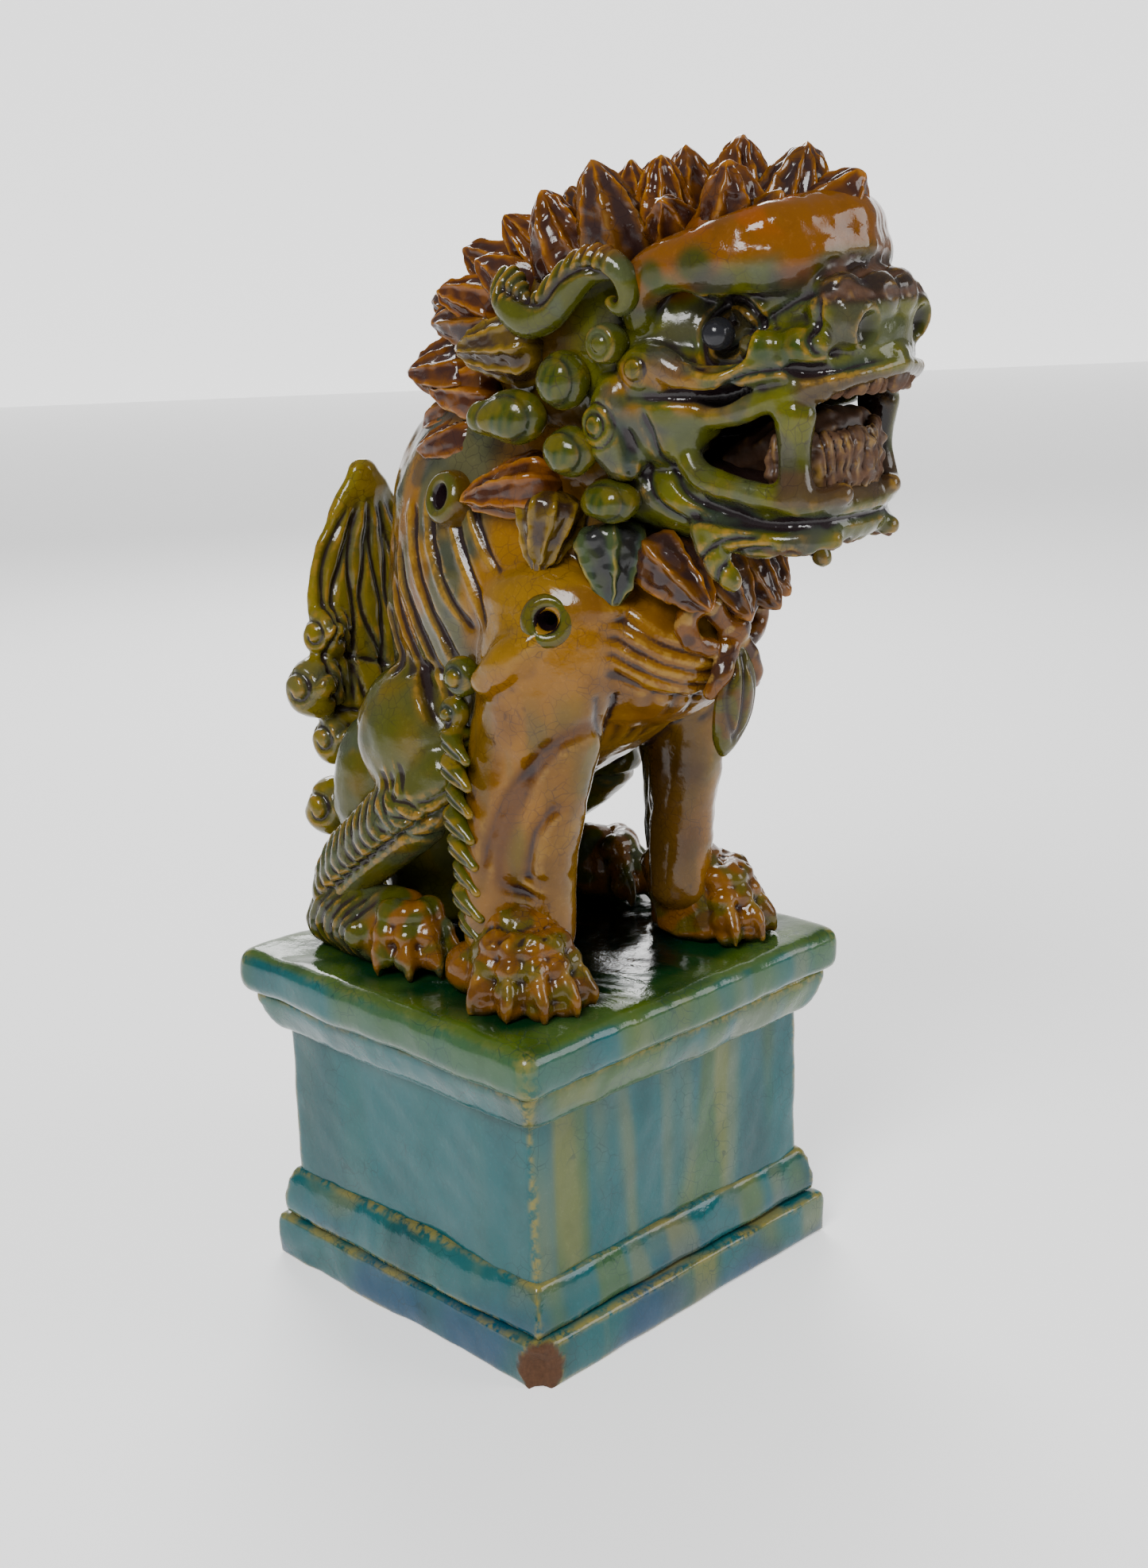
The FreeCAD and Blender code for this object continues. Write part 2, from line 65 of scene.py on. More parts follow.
TURQUOISE = shade(46, 104, 108)
TEAL_DARK = shade(22, 58, 62)
DEEP_BLUE = shade(8, 72, 112)
LEAF = shade(92, 112, 44)
DEEP_GREEN = shade(10, 62, 34)
STRAW = shade(172, 158, 98)
BUFF = shade(196, 164, 112)
AMBER = shade(150, 106, 20)
HONEY = shade(154, 118, 26)
ORANGE = shade(160, 94, 18)
BROWN = shade(100, 66, 26)
AUBERGINE = shade(42, 30, 34)
OLIVE = shade(86, 88, 36)
GREY_GREEN = shade(84, 92, 72)
SLATE = shade(52, 62, 58)
BARE_CLAY = shade(96, 70, 54)


def cloud(points, size, seed):
    """Soft random patches of about that size in millimetres, from -1 to 1."""
    dice = np.random.default_rng(seed)
    total = np.zeros(len(points))
    for _ in range(14):
        way = dice.normal(size=3)
        way *= math.tau / size * (0.5 + dice.random()) / np.linalg.norm(way)
        total += np.sin(points @ way + dice.random() * math.tau)
    return np.clip(total / 4.2, -1, 1)


def ramp(value, low, high):
    """0 below low, 1 above high, and smooth between."""
    t = np.clip((value - low) / (high - low), 0, 1)
    return t * t * (3 - 2 * t)


def flow(points, steps=7):
    """A smooth path through given points, each row a place with any sizes after it."""
    rows = np.array(points, float)
    if len(rows) < 3:
        t = np.linspace(0, 1, steps + 1)[:, None]
        return rows[0] * (1 - t) + rows[-1] * t
    padded = np.vstack([2 * rows[0] - rows[1], rows, 2 * rows[-1] - rows[-2]])
    path = []
    for a, b, c, d in zip(padded, padded[1:], padded[2:], padded[3:]):
        for k in range(steps):
            t = k / steps
            path.append(0.5 * (2 * b + (c - a) * t + (2 * a - 5 * b + 4 * c - d) * t**2
                               + (3 * b - a - 3 * c + d) * t**3))
    path.append(rows[-1])
    return np.array(path)


class Clay:
    """A lump of clay in millimetres: built up, kneaded into one skin, scored, glazed, and set in its place."""

    def __init__(self, name, voxel, soften=5):
        self.name, self.voxel, self.soften = name, voxel, soften
        self.lump, self.cutter = bmesh.new(), bmesh.new()

    def ball(self, centre, radii, turn=(0, 0, 0), carve=False, detail=3):
        place = Matrix.LocRotScale(Vector(centre), Euler([math.radians(a) for a in turn]), Vector(radii))
        lump = self.cutter if carve else self.lump
        bmesh.ops.create_icosphere(lump, subdivisions=detail, radius=1.0, matrix=place)

    def roll(self, stations, carve=False, pace=0.3, detail=3):
        """Clay rolled along a path. A station is x, y, z and one radius, or three."""
        stations = [tuple(s) + (s[3],) * (6 - len(s)) for s in stations]
        path = flow(stations, 24)
        last = None
        for row in path:
            if last is None or np.linalg.norm(row[:3] - last) > pace * min(row[3:6]):
                self.ball(row[:3], np.maximum(row[3:6], 0.3), carve=carve, detail=detail)
                last = row[:3]

    def block(self, low, high, round_off=0.0, carve=False):
        lump = self.cutter if carve else self.lump
        low, high = Vector(low), Vector(high)
        place = Matrix.Translation((low + high) / 2) @ Matrix.Diagonal((*(high - low), 1))
        made = bmesh.ops.create_cube(lump, size=1.0, matrix=place)
        if round_off:
            edges = {edge for vert in made["verts"] for edge in vert.link_edges}
            bmesh.ops.bevel(lump, geom=list(edges), offset=round_off, affect="EDGES", segments=4, profile=0.5,
                            material=-1)

    def knead(self):
        """Presses the lumps into one closed skin of even small faces."""
        made = self._skin(self.lump, self.name)
        if len(self.cutter.verts):
            tool = self._skin(self.cutter, self.name + "_cutter")
            cut = made.modifiers.new("cut", "BOOLEAN")
            cut.object, cut.operation, cut.solver = tool, "DIFFERENCE", "EXACT"
            self._apply(made)
            bpy.data.objects.remove(tool)
            again = made.modifiers.new("again", "REMESH")
            again.mode, again.voxel_size = "VOXEL", self.voxel
            self._apply(made)
        hand = made.modifiers.new("hand", "SMOOTH")
        hand.factor, hand.iterations = 0.5, self.soften
        self._apply(made)
        self.obj, self.mesh = made, made.data
        self.co = np.empty(len(self.mesh.vertices) * 3)
        self.mesh.vertices.foreach_get("co", self.co)
        self.co = self.co.reshape(-1, 3)
        self.pairs = np.empty(len(self.mesh.edges) * 2, int)
        self.mesh.edges.foreach_get("vertices", self.pairs)
        self.pairs = self.pairs.reshape(-1, 2)
        self.degree = np.bincount(self.pairs.ravel(), minlength=len(self.co)).astype(float)
        self.lift = np.zeros(len(self.co))
        self.tint = np.zeros((len(self.co), 3))
        self.bare = np.zeros(len(self.co))
        self.read_normals()

    def _skin(self, lump, name):
        mesh = bpy.data.meshes.new(name)
        lump.to_mesh(mesh)
        lump.free()
        obj = bpy.data.objects.new(name, mesh)
        bpy.context.collection.objects.link(obj)
        press = obj.modifiers.new("press", "REMESH")
        press.mode, press.voxel_size = "VOXEL", self.voxel
        self._apply(obj)
        return obj

    def _apply(self, obj):
        seen = obj.evaluated_get(bpy.context.evaluated_depsgraph_get())
        fresh = bpy.data.meshes.new_from_object(seen)
        obj.modifiers.clear()
        old, obj.data = obj.data, fresh
        bpy.data.meshes.remove(old)
        fresh.name = obj.name

    def read_normals(self):
        self.mesh.vertices.foreach_set("co", self.co.ravel())
        self.mesh.update()
        self.no = np.empty(len(self.co) * 3)
        self.mesh.vertices.foreach_get("normal", self.no)
        self.no = self.no.reshape(-1, 3)

    def blur(self, values, rounds):
        """Values, one or three a vertex, shared out between neighbours."""
        a, b = self.pairs.T
        values = values.reshape(len(self.co), -1)
        for _ in range(rounds):
            total = np.empty_like(values)
            for k in range(values.shape[1]):
                column = values[:, k]
                total[:, k] = np.bincount(a, column[b], len(column)) + np.bincount(b, column[a], len(column))
            values = 0.5 * values + 0.5 * total / self.degree[:, None]
        return values.squeeze()

    def near(self, path, axes=(0, 1, 2)):
        """Distance of each vertex from a smooth path, seen along the axis left out, and how far along it is."""
        path = flow(path)
        spots = self.co[:, list(axes)]
        best, along = np.full(len(spots), 1e9), np.zeros(len(spots))
        for k, (a, b) in enumerate(zip(path, path[1:])):
            span = b - a
            t = np.clip((spots - a) @ span / max(span @ span, 1e-9), 0, 1)
            gap = np.linalg.norm(spots - a - t[:, None] * span, axis=1)
            closer = gap < best
            best[closer] = gap[closer]
            along[closer] = (k + t[closer]) / (len(path) - 1)
        return best, along

    def score(self, path, width, height, axes=(0, 1, 2), where=None, fade=0.12):
        """Draws a groove (height below 0) or lays a strand (above 0) along a path."""
        gap, along = self.near(path, axes)
        ends = ramp(along, -0.01, fade) * (1 - ramp(along, 1 - fade, 1.01)) if fade else 1.0
        mark = np.exp(-((gap / width) ** 2)) * ends
        if where is not None:
            mark = mark * where
        self.lift += height * mark
        return mark

    def press(self):
        """Carries out what was scored."""
        self.co = self.co + self.no * self.lift[:, None]
        self.lift[:] = 0
        self.read_normals()

    def wash(self, colour, amount=1.0):
        amount = np.clip(amount, 0, 1) * np.ones(len(self.co))
        self.tint += (colour - self.tint) * amount[:, None]

    def patches(self, size, seed, low, high, stretch=(1, 1, 1)):
        """Where soft random patches lie on the skin, from 0 to 1. A small stretch draws them out that way."""
        return ramp(cloud(self.co * stretch, size, seed), low, high)

    def set_down(self, material, slot, nodes, turn=0.0, at=(0, 0, 0)):
        """Works out where glaze pools and thins, then puts the piece in its place on the object."""
        fine = ((self.blur(self.co, 5) - self.co) * self.no).sum(1)
        broad = ((self.blur(self.co, 40) - self.co) * self.no).sum(1)
        self.place = Matrix.Translation(Vector(at)) @ Matrix.Rotation(math.radians(turn), 4, "Z")
        finish_piece(self.obj, self.place, material, nodes, self.tint, fine, broad, self.bare)


def finish_piece(obj, place, material, nodes, tint, fine, broad, bare):
    """Stores the glaze's colour and depth on the skin, scales to metres, and registers the piece."""
    mesh = obj.data
    colour = mesh.attributes.new("tint", "FLOAT_COLOR", "POINT")
    colour.data.foreach_set("color", np.hstack([tint, np.ones((len(tint), 1))]).astype(np.float32).ravel())
    for name, values in (("pool", fine), ("hollow", broad), ("bare", bare)):
        layer = mesh.attributes.new(name, "FLOAT", "POINT")
        layer.data.foreach_set("value", np.asarray(values, np.float32))
    mesh.transform(Matrix.Scale(MM, 4) @ place)
    mesh.polygons.foreach_set("use_smooth", [True] * len(mesh.polygons))
    mesh.materials.clear()
    mesh.materials.append(material)
    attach(obj, "root")
    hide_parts(*nodes)


def lead_glaze(name, crackle, mottle, pooled, thin):
    """Glossy lead glaze: pooled dark in hollows, thin and pale on ridges, mottled, pitted and crazed."""
    material = bpy.data.materials.new(name)
    material.use_nodes = True
    tree = material.node_tree
    nodes, link = tree.nodes, tree.links.new
    shader = nodes["Principled BSDF"]
    shader.inputs["IOR"].default_value = 1.4

    def node(kind, **values):
        made = nodes.new(kind)
        for key, value in values.items():
            if key in made.inputs:
                made.inputs[key].default_value = value
            else:
                setattr(made, key, value)
        return made

    def attribute(key):
        return node("ShaderNodeAttribute", attribute_name=key)

    def span(source, low, high, to_low=0.0, to_high=1.0):
        made = nodes.new("ShaderNodeMapRange")
        made.interpolation_type = "SMOOTHSTEP"
        link(source, made.inputs[0])
        for k, value in enumerate((low, high, to_low, to_high)):
            made.inputs[k + 1].default_value = value
        return made.outputs[0]

    def times(a, b):
        made = node("ShaderNodeMath", operation="MULTIPLY")
        link(a, made.inputs[0])
        if isinstance(b, float):
            made.inputs[1].default_value = b
        else:
            link(b, made.inputs[1])
        return made.outputs[0]

    def blend(amount, under, over):
        made = node("ShaderNodeMix", data_type="RGBA")
        link(amount, made.inputs[0])
        link(under, made.inputs[6])
        if isinstance(over, np.ndarray):
            made.inputs[7].default_value = (*over, 1)
        else:
            link(over, made.inputs[7])
        return made.outputs[2]

    here = node("ShaderNodeTexCoord").outputs["Object"]

    def noise(scale, detail, rough=0.6):
        made = node("ShaderNodeTexNoise", Scale=scale, Detail=detail, Roughness=rough)
        link(here, made.inputs["Vector"])
        return made.outputs[0]

    patches = noise(90.0, 4.0)
    specks = noise(900.0, 3.0)
    colour = attribute("tint").outputs["Color"]
    darker = node("ShaderNodeHueSaturation", Saturation=1.1, Value=0.55)
    link(colour, darker.inputs["Color"])
    colour = blend(times(span(patches, 0.45, 0.7), mottle), colour, darker.outputs[0])
    brighter = node("ShaderNodeHueSaturation", Saturation=0.95, Value=1.35)
    link(colour, brighter.inputs["Color"])
    colour = blend(times(span(specks, 0.55, 0.72), 0.45), colour, brighter.outputs[0])
    pool = attribute("pool").outputs["Fac"]
    hollow = attribute("hollow").outputs["Fac"]
    colour = blend(times(span(hollow, 0.15, 2.2), 0.75), colour, pooled)
    colour = blend(times(span(pool, 0.02, 0.16), 0.85), colour, pooled)
    worn = times(span(pool, -0.04, -0.2), span(noise(500.0, 2.0), 0.35, 0.6))
    colour = blend(times(worn, 0.75), colour, thin)
    if crackle:
        warp = node("ShaderNodeTexVoronoi", feature="DISTANCE_TO_EDGE", Scale=crackle, Randomness=1.0)
        bend = node("ShaderNodeVectorMath", operation="ADD")
        shift = node("ShaderNodeTexNoise", Scale=120.0, Detail=2.0)
        link(here, shift.inputs["Vector"])
        small = node("ShaderNodeVectorMath", operation="SCALE", Scale=0.006)
        link(shift.outputs["Color"], small.inputs[0])
        link(here, bend.inputs[0])
        link(small.outputs[0], bend.inputs[1])
        link(bend.outputs[0], warp.inputs["Vector"])
        lines = span(warp.outputs["Distance"], 0.045, 0.0)
        lines = times(lines, span(noise(60.0, 2.0), 0.42, 0.6))
        colour = blend(times(lines, 0.5), colour, pooled)
    bare = attribute("bare").outputs["Fac"]
    grit = node("ShaderNodeMix", data_type="RGBA")
    link(noise(1400.0, 4.0), grit.inputs[0])
    grit.inputs[6].default_value = (*(BARE_CLAY * 0.55), 1)
    grit.inputs[7].default_value = (*(BARE_CLAY * 1.7), 1)
    colour = blend(bare, colour, grit.outputs[2])
    link(colour, shader.inputs["Base Color"])
    rough = node("ShaderNodeMix", data_type="FLOAT")
    link(bare, rough.inputs[0])
    link(span(noise(300.0, 3.0), 0.4, 0.75, 0.07, 0.24), rough.inputs[2])
    rough.inputs[3].default_value = 0.85
    link(rough.outputs[0], shader.inputs["Roughness"])
    bump = node("ShaderNodeBump", Strength=0.35, Distance=0.0004)
    height = node("ShaderNodeMath", operation="ADD")
    link(times(noise(240.0, 4.0), 0.9), height.inputs[0])
    link(times(specks, 0.25), height.inputs[1])
    link(height.outputs[0], bump.inputs["Height"])
    link(bump.outputs[0], shader.inputs["Normal"])
    return material


plinth_glaze = lead_glaze("turquoise_lead_glaze", 300.0, 0.35, TEAL_DARK, STRAW)


def waver(clay, amount, seed):
    """Pushes the skin about a little, as a hand leaves it."""
    for size, share in ((60, 1.0), (22, 0.45), (9, 0.2)):
        clay.lift += amount * share * cloud(clay.co, size, seed + size)
    clay.press()


def plinth_glazing(clay, seed):
    """Turquoise with long runs: green and straw on the front and back, bluer towards the foot."""
    spots = clay.co
    level = spots[:, 2]
    runs = spots * (1.0, 1.0, 0.12)
    front = ramp(np.abs(clay.no[:, 1]), 0.5, 0.8)
    clay.wash(TURQUOISE)
    clay.wash(TEAL_DARK, 0.45 * ramp(cloud(runs, 26, seed), 0.1, 0.9))
    clay.wash(LEAF, 0.6 * ramp(cloud(runs, 17, seed + 1), 0.0, 0.8) * (0.1 + 0.9 * front))
    clay.wash(STRAW, 0.3 * ramp(cloud(runs, 13, seed + 2), 0.2, 0.9) * (0.1 + 0.9 * front))
    clay.wash(LEAF, 0.6 * ramp(level, 52, 78) * ramp(cloud(runs, 30, seed + 3), -0.5, 0.4))
    clay.wash(DEEP_BLUE, ramp(level, 20, 4) * ramp(cloud(spots, 34, seed + 4), -0.6, 0.4) * 0.7)


slab = Clay("plinth_top", SLAB_VOXEL, soften=8)
slab.block(SLAB_LOW, SLAB_HIGH, round_off=3.6)
slab.knead()
waver(slab, 0.5, 11)
plinth_glazing(slab, 20)
top = ramp(slab.no[:, 2], 0.5, 0.9)
inward = np.maximum(np.abs(slab.co[:, 0]) / SLAB_HIGH[0], np.abs(slab.co[:, 1]) / SLAB_HIGH[1])
slab.wash(LEAF, top * 0.8)
slab.wash(DEEP_GREEN, top * ramp(inward + 0.12 * cloud(slab.co, 20, 31), 0.98, 0.72))
# Painted shadow: the middle of the top, under the lion, darkened nearly to black.
slab.wash(shade(6, 22, 16), top * ramp(inward + 0.2 * cloud(slab.co, 26, 32), 0.8, 0.4))
slab.set_down(plinth_glaze, "turquoise_glaze", ["plinth_top_slab"])

# ---- plinth walls and mouldings ------------------------------------------------------------------
# Four slabs stand on edge and are joined with slip at the corners. A cornice strip runs under the top, and a round
# moulding and a foot strip run round the bottom, each pressed on by hand so that its line wanders.
BLOCK_LOW = np.array(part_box("plinth_wall_right")[0]) / MM
BLOCK_X, BLOCK_Y = -BLOCK_LOW[0], -np.array(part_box("plinth_wall_front")[0])[1] / MM
WALL = 7.0
WALL_TOP = SLAB_LOW[2]
PLINTH_VOXEL = 0.85

walls = Clay("plinth_walls", PLINTH_VOXEL, soften=6)
for side in (-1, 1):
    walls.block((side * BLOCK_X - WALL * (side > 0), -BLOCK_Y, 0),
                (side * BLOCK_X + WALL * (side < 0), BLOCK_Y, WALL_TOP), 1.2)
    walls.block((-BLOCK_X, side * BLOCK_Y - WALL * (side > 0), 0),
                (BLOCK_X, side * BLOCK_Y + WALL * (side < 0), WALL_TOP), 1.2)
walls.knead()
waver(walls, 0.45, 41)
plinth_glazing(walls, 50)
walls.set_down(plinth_glaze, "turquoise_glaze",
               ["plinth_wall_" + n for n in ("front", "back", "left", "right")])

# name, bottom, top, how far it stands out at its bottom, middle and top, and the CAD node it stands for
MOULDINGS = [
    ("cornice", 58.2, WALL_TOP + 0.6, 1.2, 4.4, 5.2, "plinth_cornice"),
    ("round_moulding", 11.0, 22.6, 3.2, 3.6, 0.6, "plinth_torus_moulding"),
    ("foot_moulding", 0.0, 10.8, 4.6, 5.6, 4.4, "plinth_foot_moulding"),
]
CHIP = (-BLOCK_X - 8.6, -BLOCK_Y - 8.6, 4.0)  # a corner of the foot is knocked off
for name, low, high, out_low, out_mid, out_top, cad_node in MOULDINGS:
    strip = Clay(name, PLINTH_VOXEL, soften=7)
    parts = 7
    for k in range(parts):
        t = (k + 0.5) / parts
        out = out_low * (1 - t) ** 2 + 2 * out_mid * t * (1 - t) + out_top * t**2
        out = max(out, 0.4)
        z0, z1 = low + (high - low) * k / parts - 0.3 * (k > 0), low + (high - low) * (k + 1) / parts
        strip.block((-BLOCK_X - out, -BLOCK_Y - out, z0), (BLOCK_X + out, BLOCK_Y + out, z1))
    strip.block((-BLOCK_X + 2, -BLOCK_Y + 2, low - 5), (BLOCK_X - 2, BLOCK_Y - 2, high + 5), carve=True)
    if name == "foot_moulding":
        strip.ball(CHIP, (9.5, 9.5, 8.5), carve=True)
    strip.knead()
    waver(strip, 0.5, 60 + int(low))
    strip.co[:, 2] = np.maximum(strip.co[:, 2], 0.0)
    plinth_glazing(strip, 70 + int(low))
    if name == "foot_moulding":
        lost = np.linalg.norm(strip.co - CHIP, axis=1)
        strip.bare = ramp(lost + 0.8 * cloud(strip.co, 5, 77), 11.6, 10.2)
        strip.lift += 0.35 * cloud(strip.co, 3, 78) * strip.bare
        strip.press()
    strip.wash(STRAW, 0.55 * strip.patches(18, 81, 0.2, 0.8) * ramp(strip.no[:, 2], 0.1, 0.7))
    strip.set_down(plinth_glaze, "turquoise_glaze", [cad_node])

# ---- body, shoulders and haunches ----------------------------------------------------------------
# The trunk is two pressed halves of clay about 6 mm thick, with the front legs, haunches and shins luted on and
# smoothed over, so that they read as one skin. Hair, collar and muscle lines are scored before firing.
TRUNK = [
    (0, 24, 84, 19, 12, 5), (0, 24, 92, 21.5, 15, 8), (0, 20, 106, 24, 19, 8), (0, 13, 119, 25.5, 26, 8),
    (0, 2, 130, 26.5, 34, 8), (0, -6, 141, 27.5, 40, 8), (0, -8, 155, 29, 42, 9), (0.5, -8, 170, 28.5, 41, 9),
    (1.5, -8, 184, 26.5, 39, 9), (2.5, -9, 194, 24, 35, 8), (3.5, -11, 203, 21, 29, 6),
]
# A front leg is one mass at the shoulder, and below it two rolls side by side, so that its broad face looks outward
# and forward.
FORELEG = [(21.5, -25.5, 136, 11, 14.5, 9), (20, -28.5, 149, 12.5, 18, 10), (18.5, -29.5, 163, 12.5, 18, 10)]
FORELEG_BACK = [(28.5, -18.5, 92, 7.2, 7.2, 7), (28.3, -18.7, 105, 7.2, 7.6, 8), (26.5, -20, 121, 7.8, 9, 8),
                (23, -23, 136, 9, 12, 9)]
FORELEG_FRONT = [(21.5, -25.5, 92, 7.0, 7.2, 7), (21.5, -26, 105, 7.0, 7.6, 8), (21, -28, 121, 7.6, 9, 8),
                 (20.5, -30, 136, 9, 12, 9)]
SHIN = [
    (27.5, -2, 124, 8, 8.5, 8.5), (30, 6, 115.5, 8.2, 9.5, 9), (31, 16.5, 107, 7.8, 9, 8.5),
    (31.8, 26, 99, 6.6, 8, 7.5), (32, 32.5, 90, 6.2, 7.5, 7.5),
]
KNOB = [(31.5, -24, 148.5, 4.6, 4.6, 3.6), (32, -30.5, 154, 3.8, 5, 4.2), (29.5, -36.5, 159.5, 2, 3, 2)]
COLLAR_AT, COLLAR_LEAN = np.array((0, -18, 178.0)), math.radians(34.5)


def mirror(rows, side):
    """Rows of a place and sizes on the lion's left, for the side given: -1 is right, 1 is left."""
    return [(side * row[0],) + tuple(row[1:]) for row in rows]


body = Clay("lion_body", 0.72, soften=9)
body.roll(TRUNK, pace=0.16, detail=4)
body.ball((0, -33, 153), (23, 27, 19))
body.ball((2, -25, 189), (23, 27, 17))
for side in (-1, 1):
    for limb in (FORELEG, FORELEG_BACK, FORELEG_FRONT):
        body.roll(mirror(limb, side), pace=0.2)
    body.ball((side * 22.5, 8.5, 130.5), (14.5, 17, 17.5))
    body.ball((side * 17.5, 29, 115), (13.5, 13, 19), (8, 0, 0))
    body.roll(mirror(SHIN, side))
    body.roll(mirror(KNOB, side))
body.roll([(3, 13, 203, 2.6), (2.2, 25, 190, 3.2), (1, 33, 179, 3.8), (0.5, 37, 171.5, 2.4)])
SOCKETS = [((-26.0, -36.6, 161.2), (-0.8, -0.56, 0.22)), ((-22.8, -7.2, 182.9), (-0.95, 0.12, 0.28))]
for side in (1, -1):
    for spot, way in SOCKETS:
        spot, way = np.array(spot) * (side, 1, 1), np.array(way) * (side, 1, 1)
        body.roll([(*(spot + way * reach), 2.3) for reach in (-9, -3, 3, 8)], carve=True)
body.knead()

x, y, z = body.co.T
flank = ramp(np.abs(body.no[:, 0]), 0.12, 0.4) * ramp(np.abs(x), 8, 14)
trunk_only = flank * ramp(y, -26, -18) * ramp(z, 128, 140)
# Hair bands that fall from the spine and lap over one another, as points of y and z.
HAIR_BANDS = [
    ((3, 183), (1, 173), (-4, 163), (-11, 153), (-15, 145)),
    ((8, 173), (5, 164), (-1, 155), (-7, 146), (-11, 136)),
    ((12, 165), (8, 157), (2, 149), (-4, 142), (-9, 134)),
    ((17, 158), (12, 150), (6, 145)),
    ((-3, 185), (-6, 174), (-12, 164), (-19, 157)),
    ((-9, 186), (-14, 176), (-20, 166), (-24, 158)),
    ((-15, 186), (-20, 177), (-26, 170), (-33, 166)),
]
HAIR_SHIFT = 3.0
hair = np.zeros(len(x))
straw = np.zeros(len(x))
for band in HAIR_BANDS:
    band = np.array(band) + (HAIR_SHIFT, 0)
    edge = band + (1.9, 0.6)
    hair += body.score(band, 0.95, -0.9, (1, 2), trunk_only)
    straw = straw + body.score(edge, 1.1, 0.5, (1, 2), trunk_only)
# Lower, flatter strokes over the back, either side of the spine ridge.
behind = ramp(body.no[:, 1], 0.3, 0.6) * ramp(z, 100, 108)
for side in (-1, 1):
    for k in range(5):
        start = 196 - 17 * k
        path = [(side * 3, start), (side * 10, start - 9), (side * 18, start - 21), (side * 22, start - 31)]
        hair += body.score(path, 1.1, -0.7, (0, 2), behind)
# Bands painted and scored down each front leg.
leg_zone = ramp(y, -9, -13) * ramp(np.abs(x), 15, 20)
LEG_BANDS = [
    ((-72, 158), (-72, 150), (-64, 142), (-52, 135), (-42, 126), (-36, 115), (-33, 102)),
    ((-58, 138), (-48, 130), (-41, 120), (-38, 110), (-39, 104), (-46, 101)),
    ((-53, 124), (-46, 117), (-43, 110), (-42, 105)),
]
leg_lines = np.zeros(len(x))
for band in LEG_BANDS:
    band = np.array(band) * (0.8, 1) + (5.5, 0)
    leg_lines += body.score(band, 1.35, -0.75, (1, 2), leg_zone)
    body.score(band + (-2.6, 0.6), 1.3, 0.4, (1, 2), leg_zone)
# Shin fur: crescents that lap down the shin from the knee to the hock.
shin_zone = ramp(np.abs(x), 22, 26) * ramp(y, -13, -8)
for k in range(13):
    t = k / 12
    cy, cz = -4.5 + 36 * t, 122 - 27 * t
    size = 8.5 - 3.0 * t
    path = [(cy - size * 0.9, cz + size * 0.1), (cy - size * 0.2, cz - size * 0.55),
            (cy + size * 0.6, cz - size * 0.2),
            (cy + size * 0.95, cz + size * 0.75)]
    body.score(path, 0.75, -0.85, (1, 2), shin_zone)
    body.score(np.array(path) + (0.9, 1.1), 0.7, 0.5, (1, 2), shin_zone)
for k in range(3):
    path = [(-11, 124 - 4 * k), (-4, 119.5 - 4 * k), (5, 120 - 4 * k), (10, 125 - 4 * k)]
    body.score(path, 0.9, -0.8, (1, 2), ramp(np.abs(x), 22, 26) * ramp(y, -13, -8))
body.score([(9, 146), (-3, 147), (-9, 139), (-9, 130)], 1.2, -0.9, (1, 2), ramp(np.abs(x), 19, 24))
# The collar: three cords side by side that slope from the nape to the chest.
slant = (z - COLLAR_AT[2]) * math.cos(COLLAR_LEAN) - (y - COLLAR_AT[1]) * math.sin(COLLAR_LEAN)
collar = np.zeros(len(x))
for offset in (-4.2, -1.4, 1.4, 4.2):
    collar += np.exp(-(((slant - offset) / 0.95) ** 2))
inside_leg = ramp(np.abs(x), 23, 17) * ramp(y, -26, -40) * 0.75
body.lift += (1.1 * collar - 0.8 * np.exp(-(((np.abs(slant) - 6.6) / 0.9) ** 2))) * inside_leg
# Scored hair on the chest and throat.
front = ramp(-body.no[:, 1], 0.35, 0.7) * ramp(z, 128, 134)
for side in (-1, 1):
    for k in range(5):
        path = [(side * (5 + 4.5 * k), 147), (side * (4 + 4.0 * k), 140), (side * (2 + 3 * k), 131)]
        hair += body.score(path, 1.0, -0.55, (0, 2), front)
body.press()
for size, share in ((30, 0.35), (11, 0.16), (5, 0.07)):
    body.lift += share * cloud(body.co, size, 90 + size)
body.press()

x, y, z = body.co.T
spots = body.co
body.wash(HONEY)
body.wash(AMBER, body.patches(30, 101, -0.3, 0.5) * 0.8)
body.wash(BROWN, body.patches(18, 102, 0.3, 0.9) * 0.5)
rear = ramp(y, -22, -14)
body.wash(GREY_GREEN, rear * body.patches(16, 103, -0.5, 0.3, (1, 1, 0.6)) * 0.85)
body.wash(SLATE, rear * body.patches(13, 104, 0.2, 0.8) * 0.6)
haunch = ramp(np.linalg.norm((spots - (0, 6, 131)) * (0, 1, 1), axis=1), 24, 15) * ramp(np.abs(x), 18, 24)
low_rear = ramp(y, -16, -8) * ramp(z, 140, 128)
body.wash(OLIVE, np.maximum(haunch, low_rear) * (0.75 + 0.2 * cloud(spots, 12, 105)))
body.wash(GREY_GREEN, low_rear * body.patches(15, 106, 0.1, 0.7) * 0.8)
low_leg = leg_zone * ramp(z, 150, 138)
body.wash(OLIVE, low_leg * body.patches(9, 107, -0.1, 0.6, (1, 1, 0.35)) * 0.6)
body.wash(GREY_GREEN, low_leg * body.patches(7, 108, 0.4, 0.9, (1, 1, 0.3)) * 0.35)
body.wash(shade(118, 84, 22), low_leg * body.patches(12, 109, -0.5, 0.5, (1, 1, 0.4)) * 0.6)
body.wash(BROWN, np.clip(leg_lines, 0, 1) * 0.95)
body.wash(shade(150, 116, 44), np.clip(straw, 0, 1) * 0.55)
body.wash(AUBERGINE, np.clip(hair, 0, 1) * 0.6)
body.wash(BROWN, np.exp(-((slant / 7.0) ** 2)) * inside_leg * ramp(y, 30, 0) * 0.55)
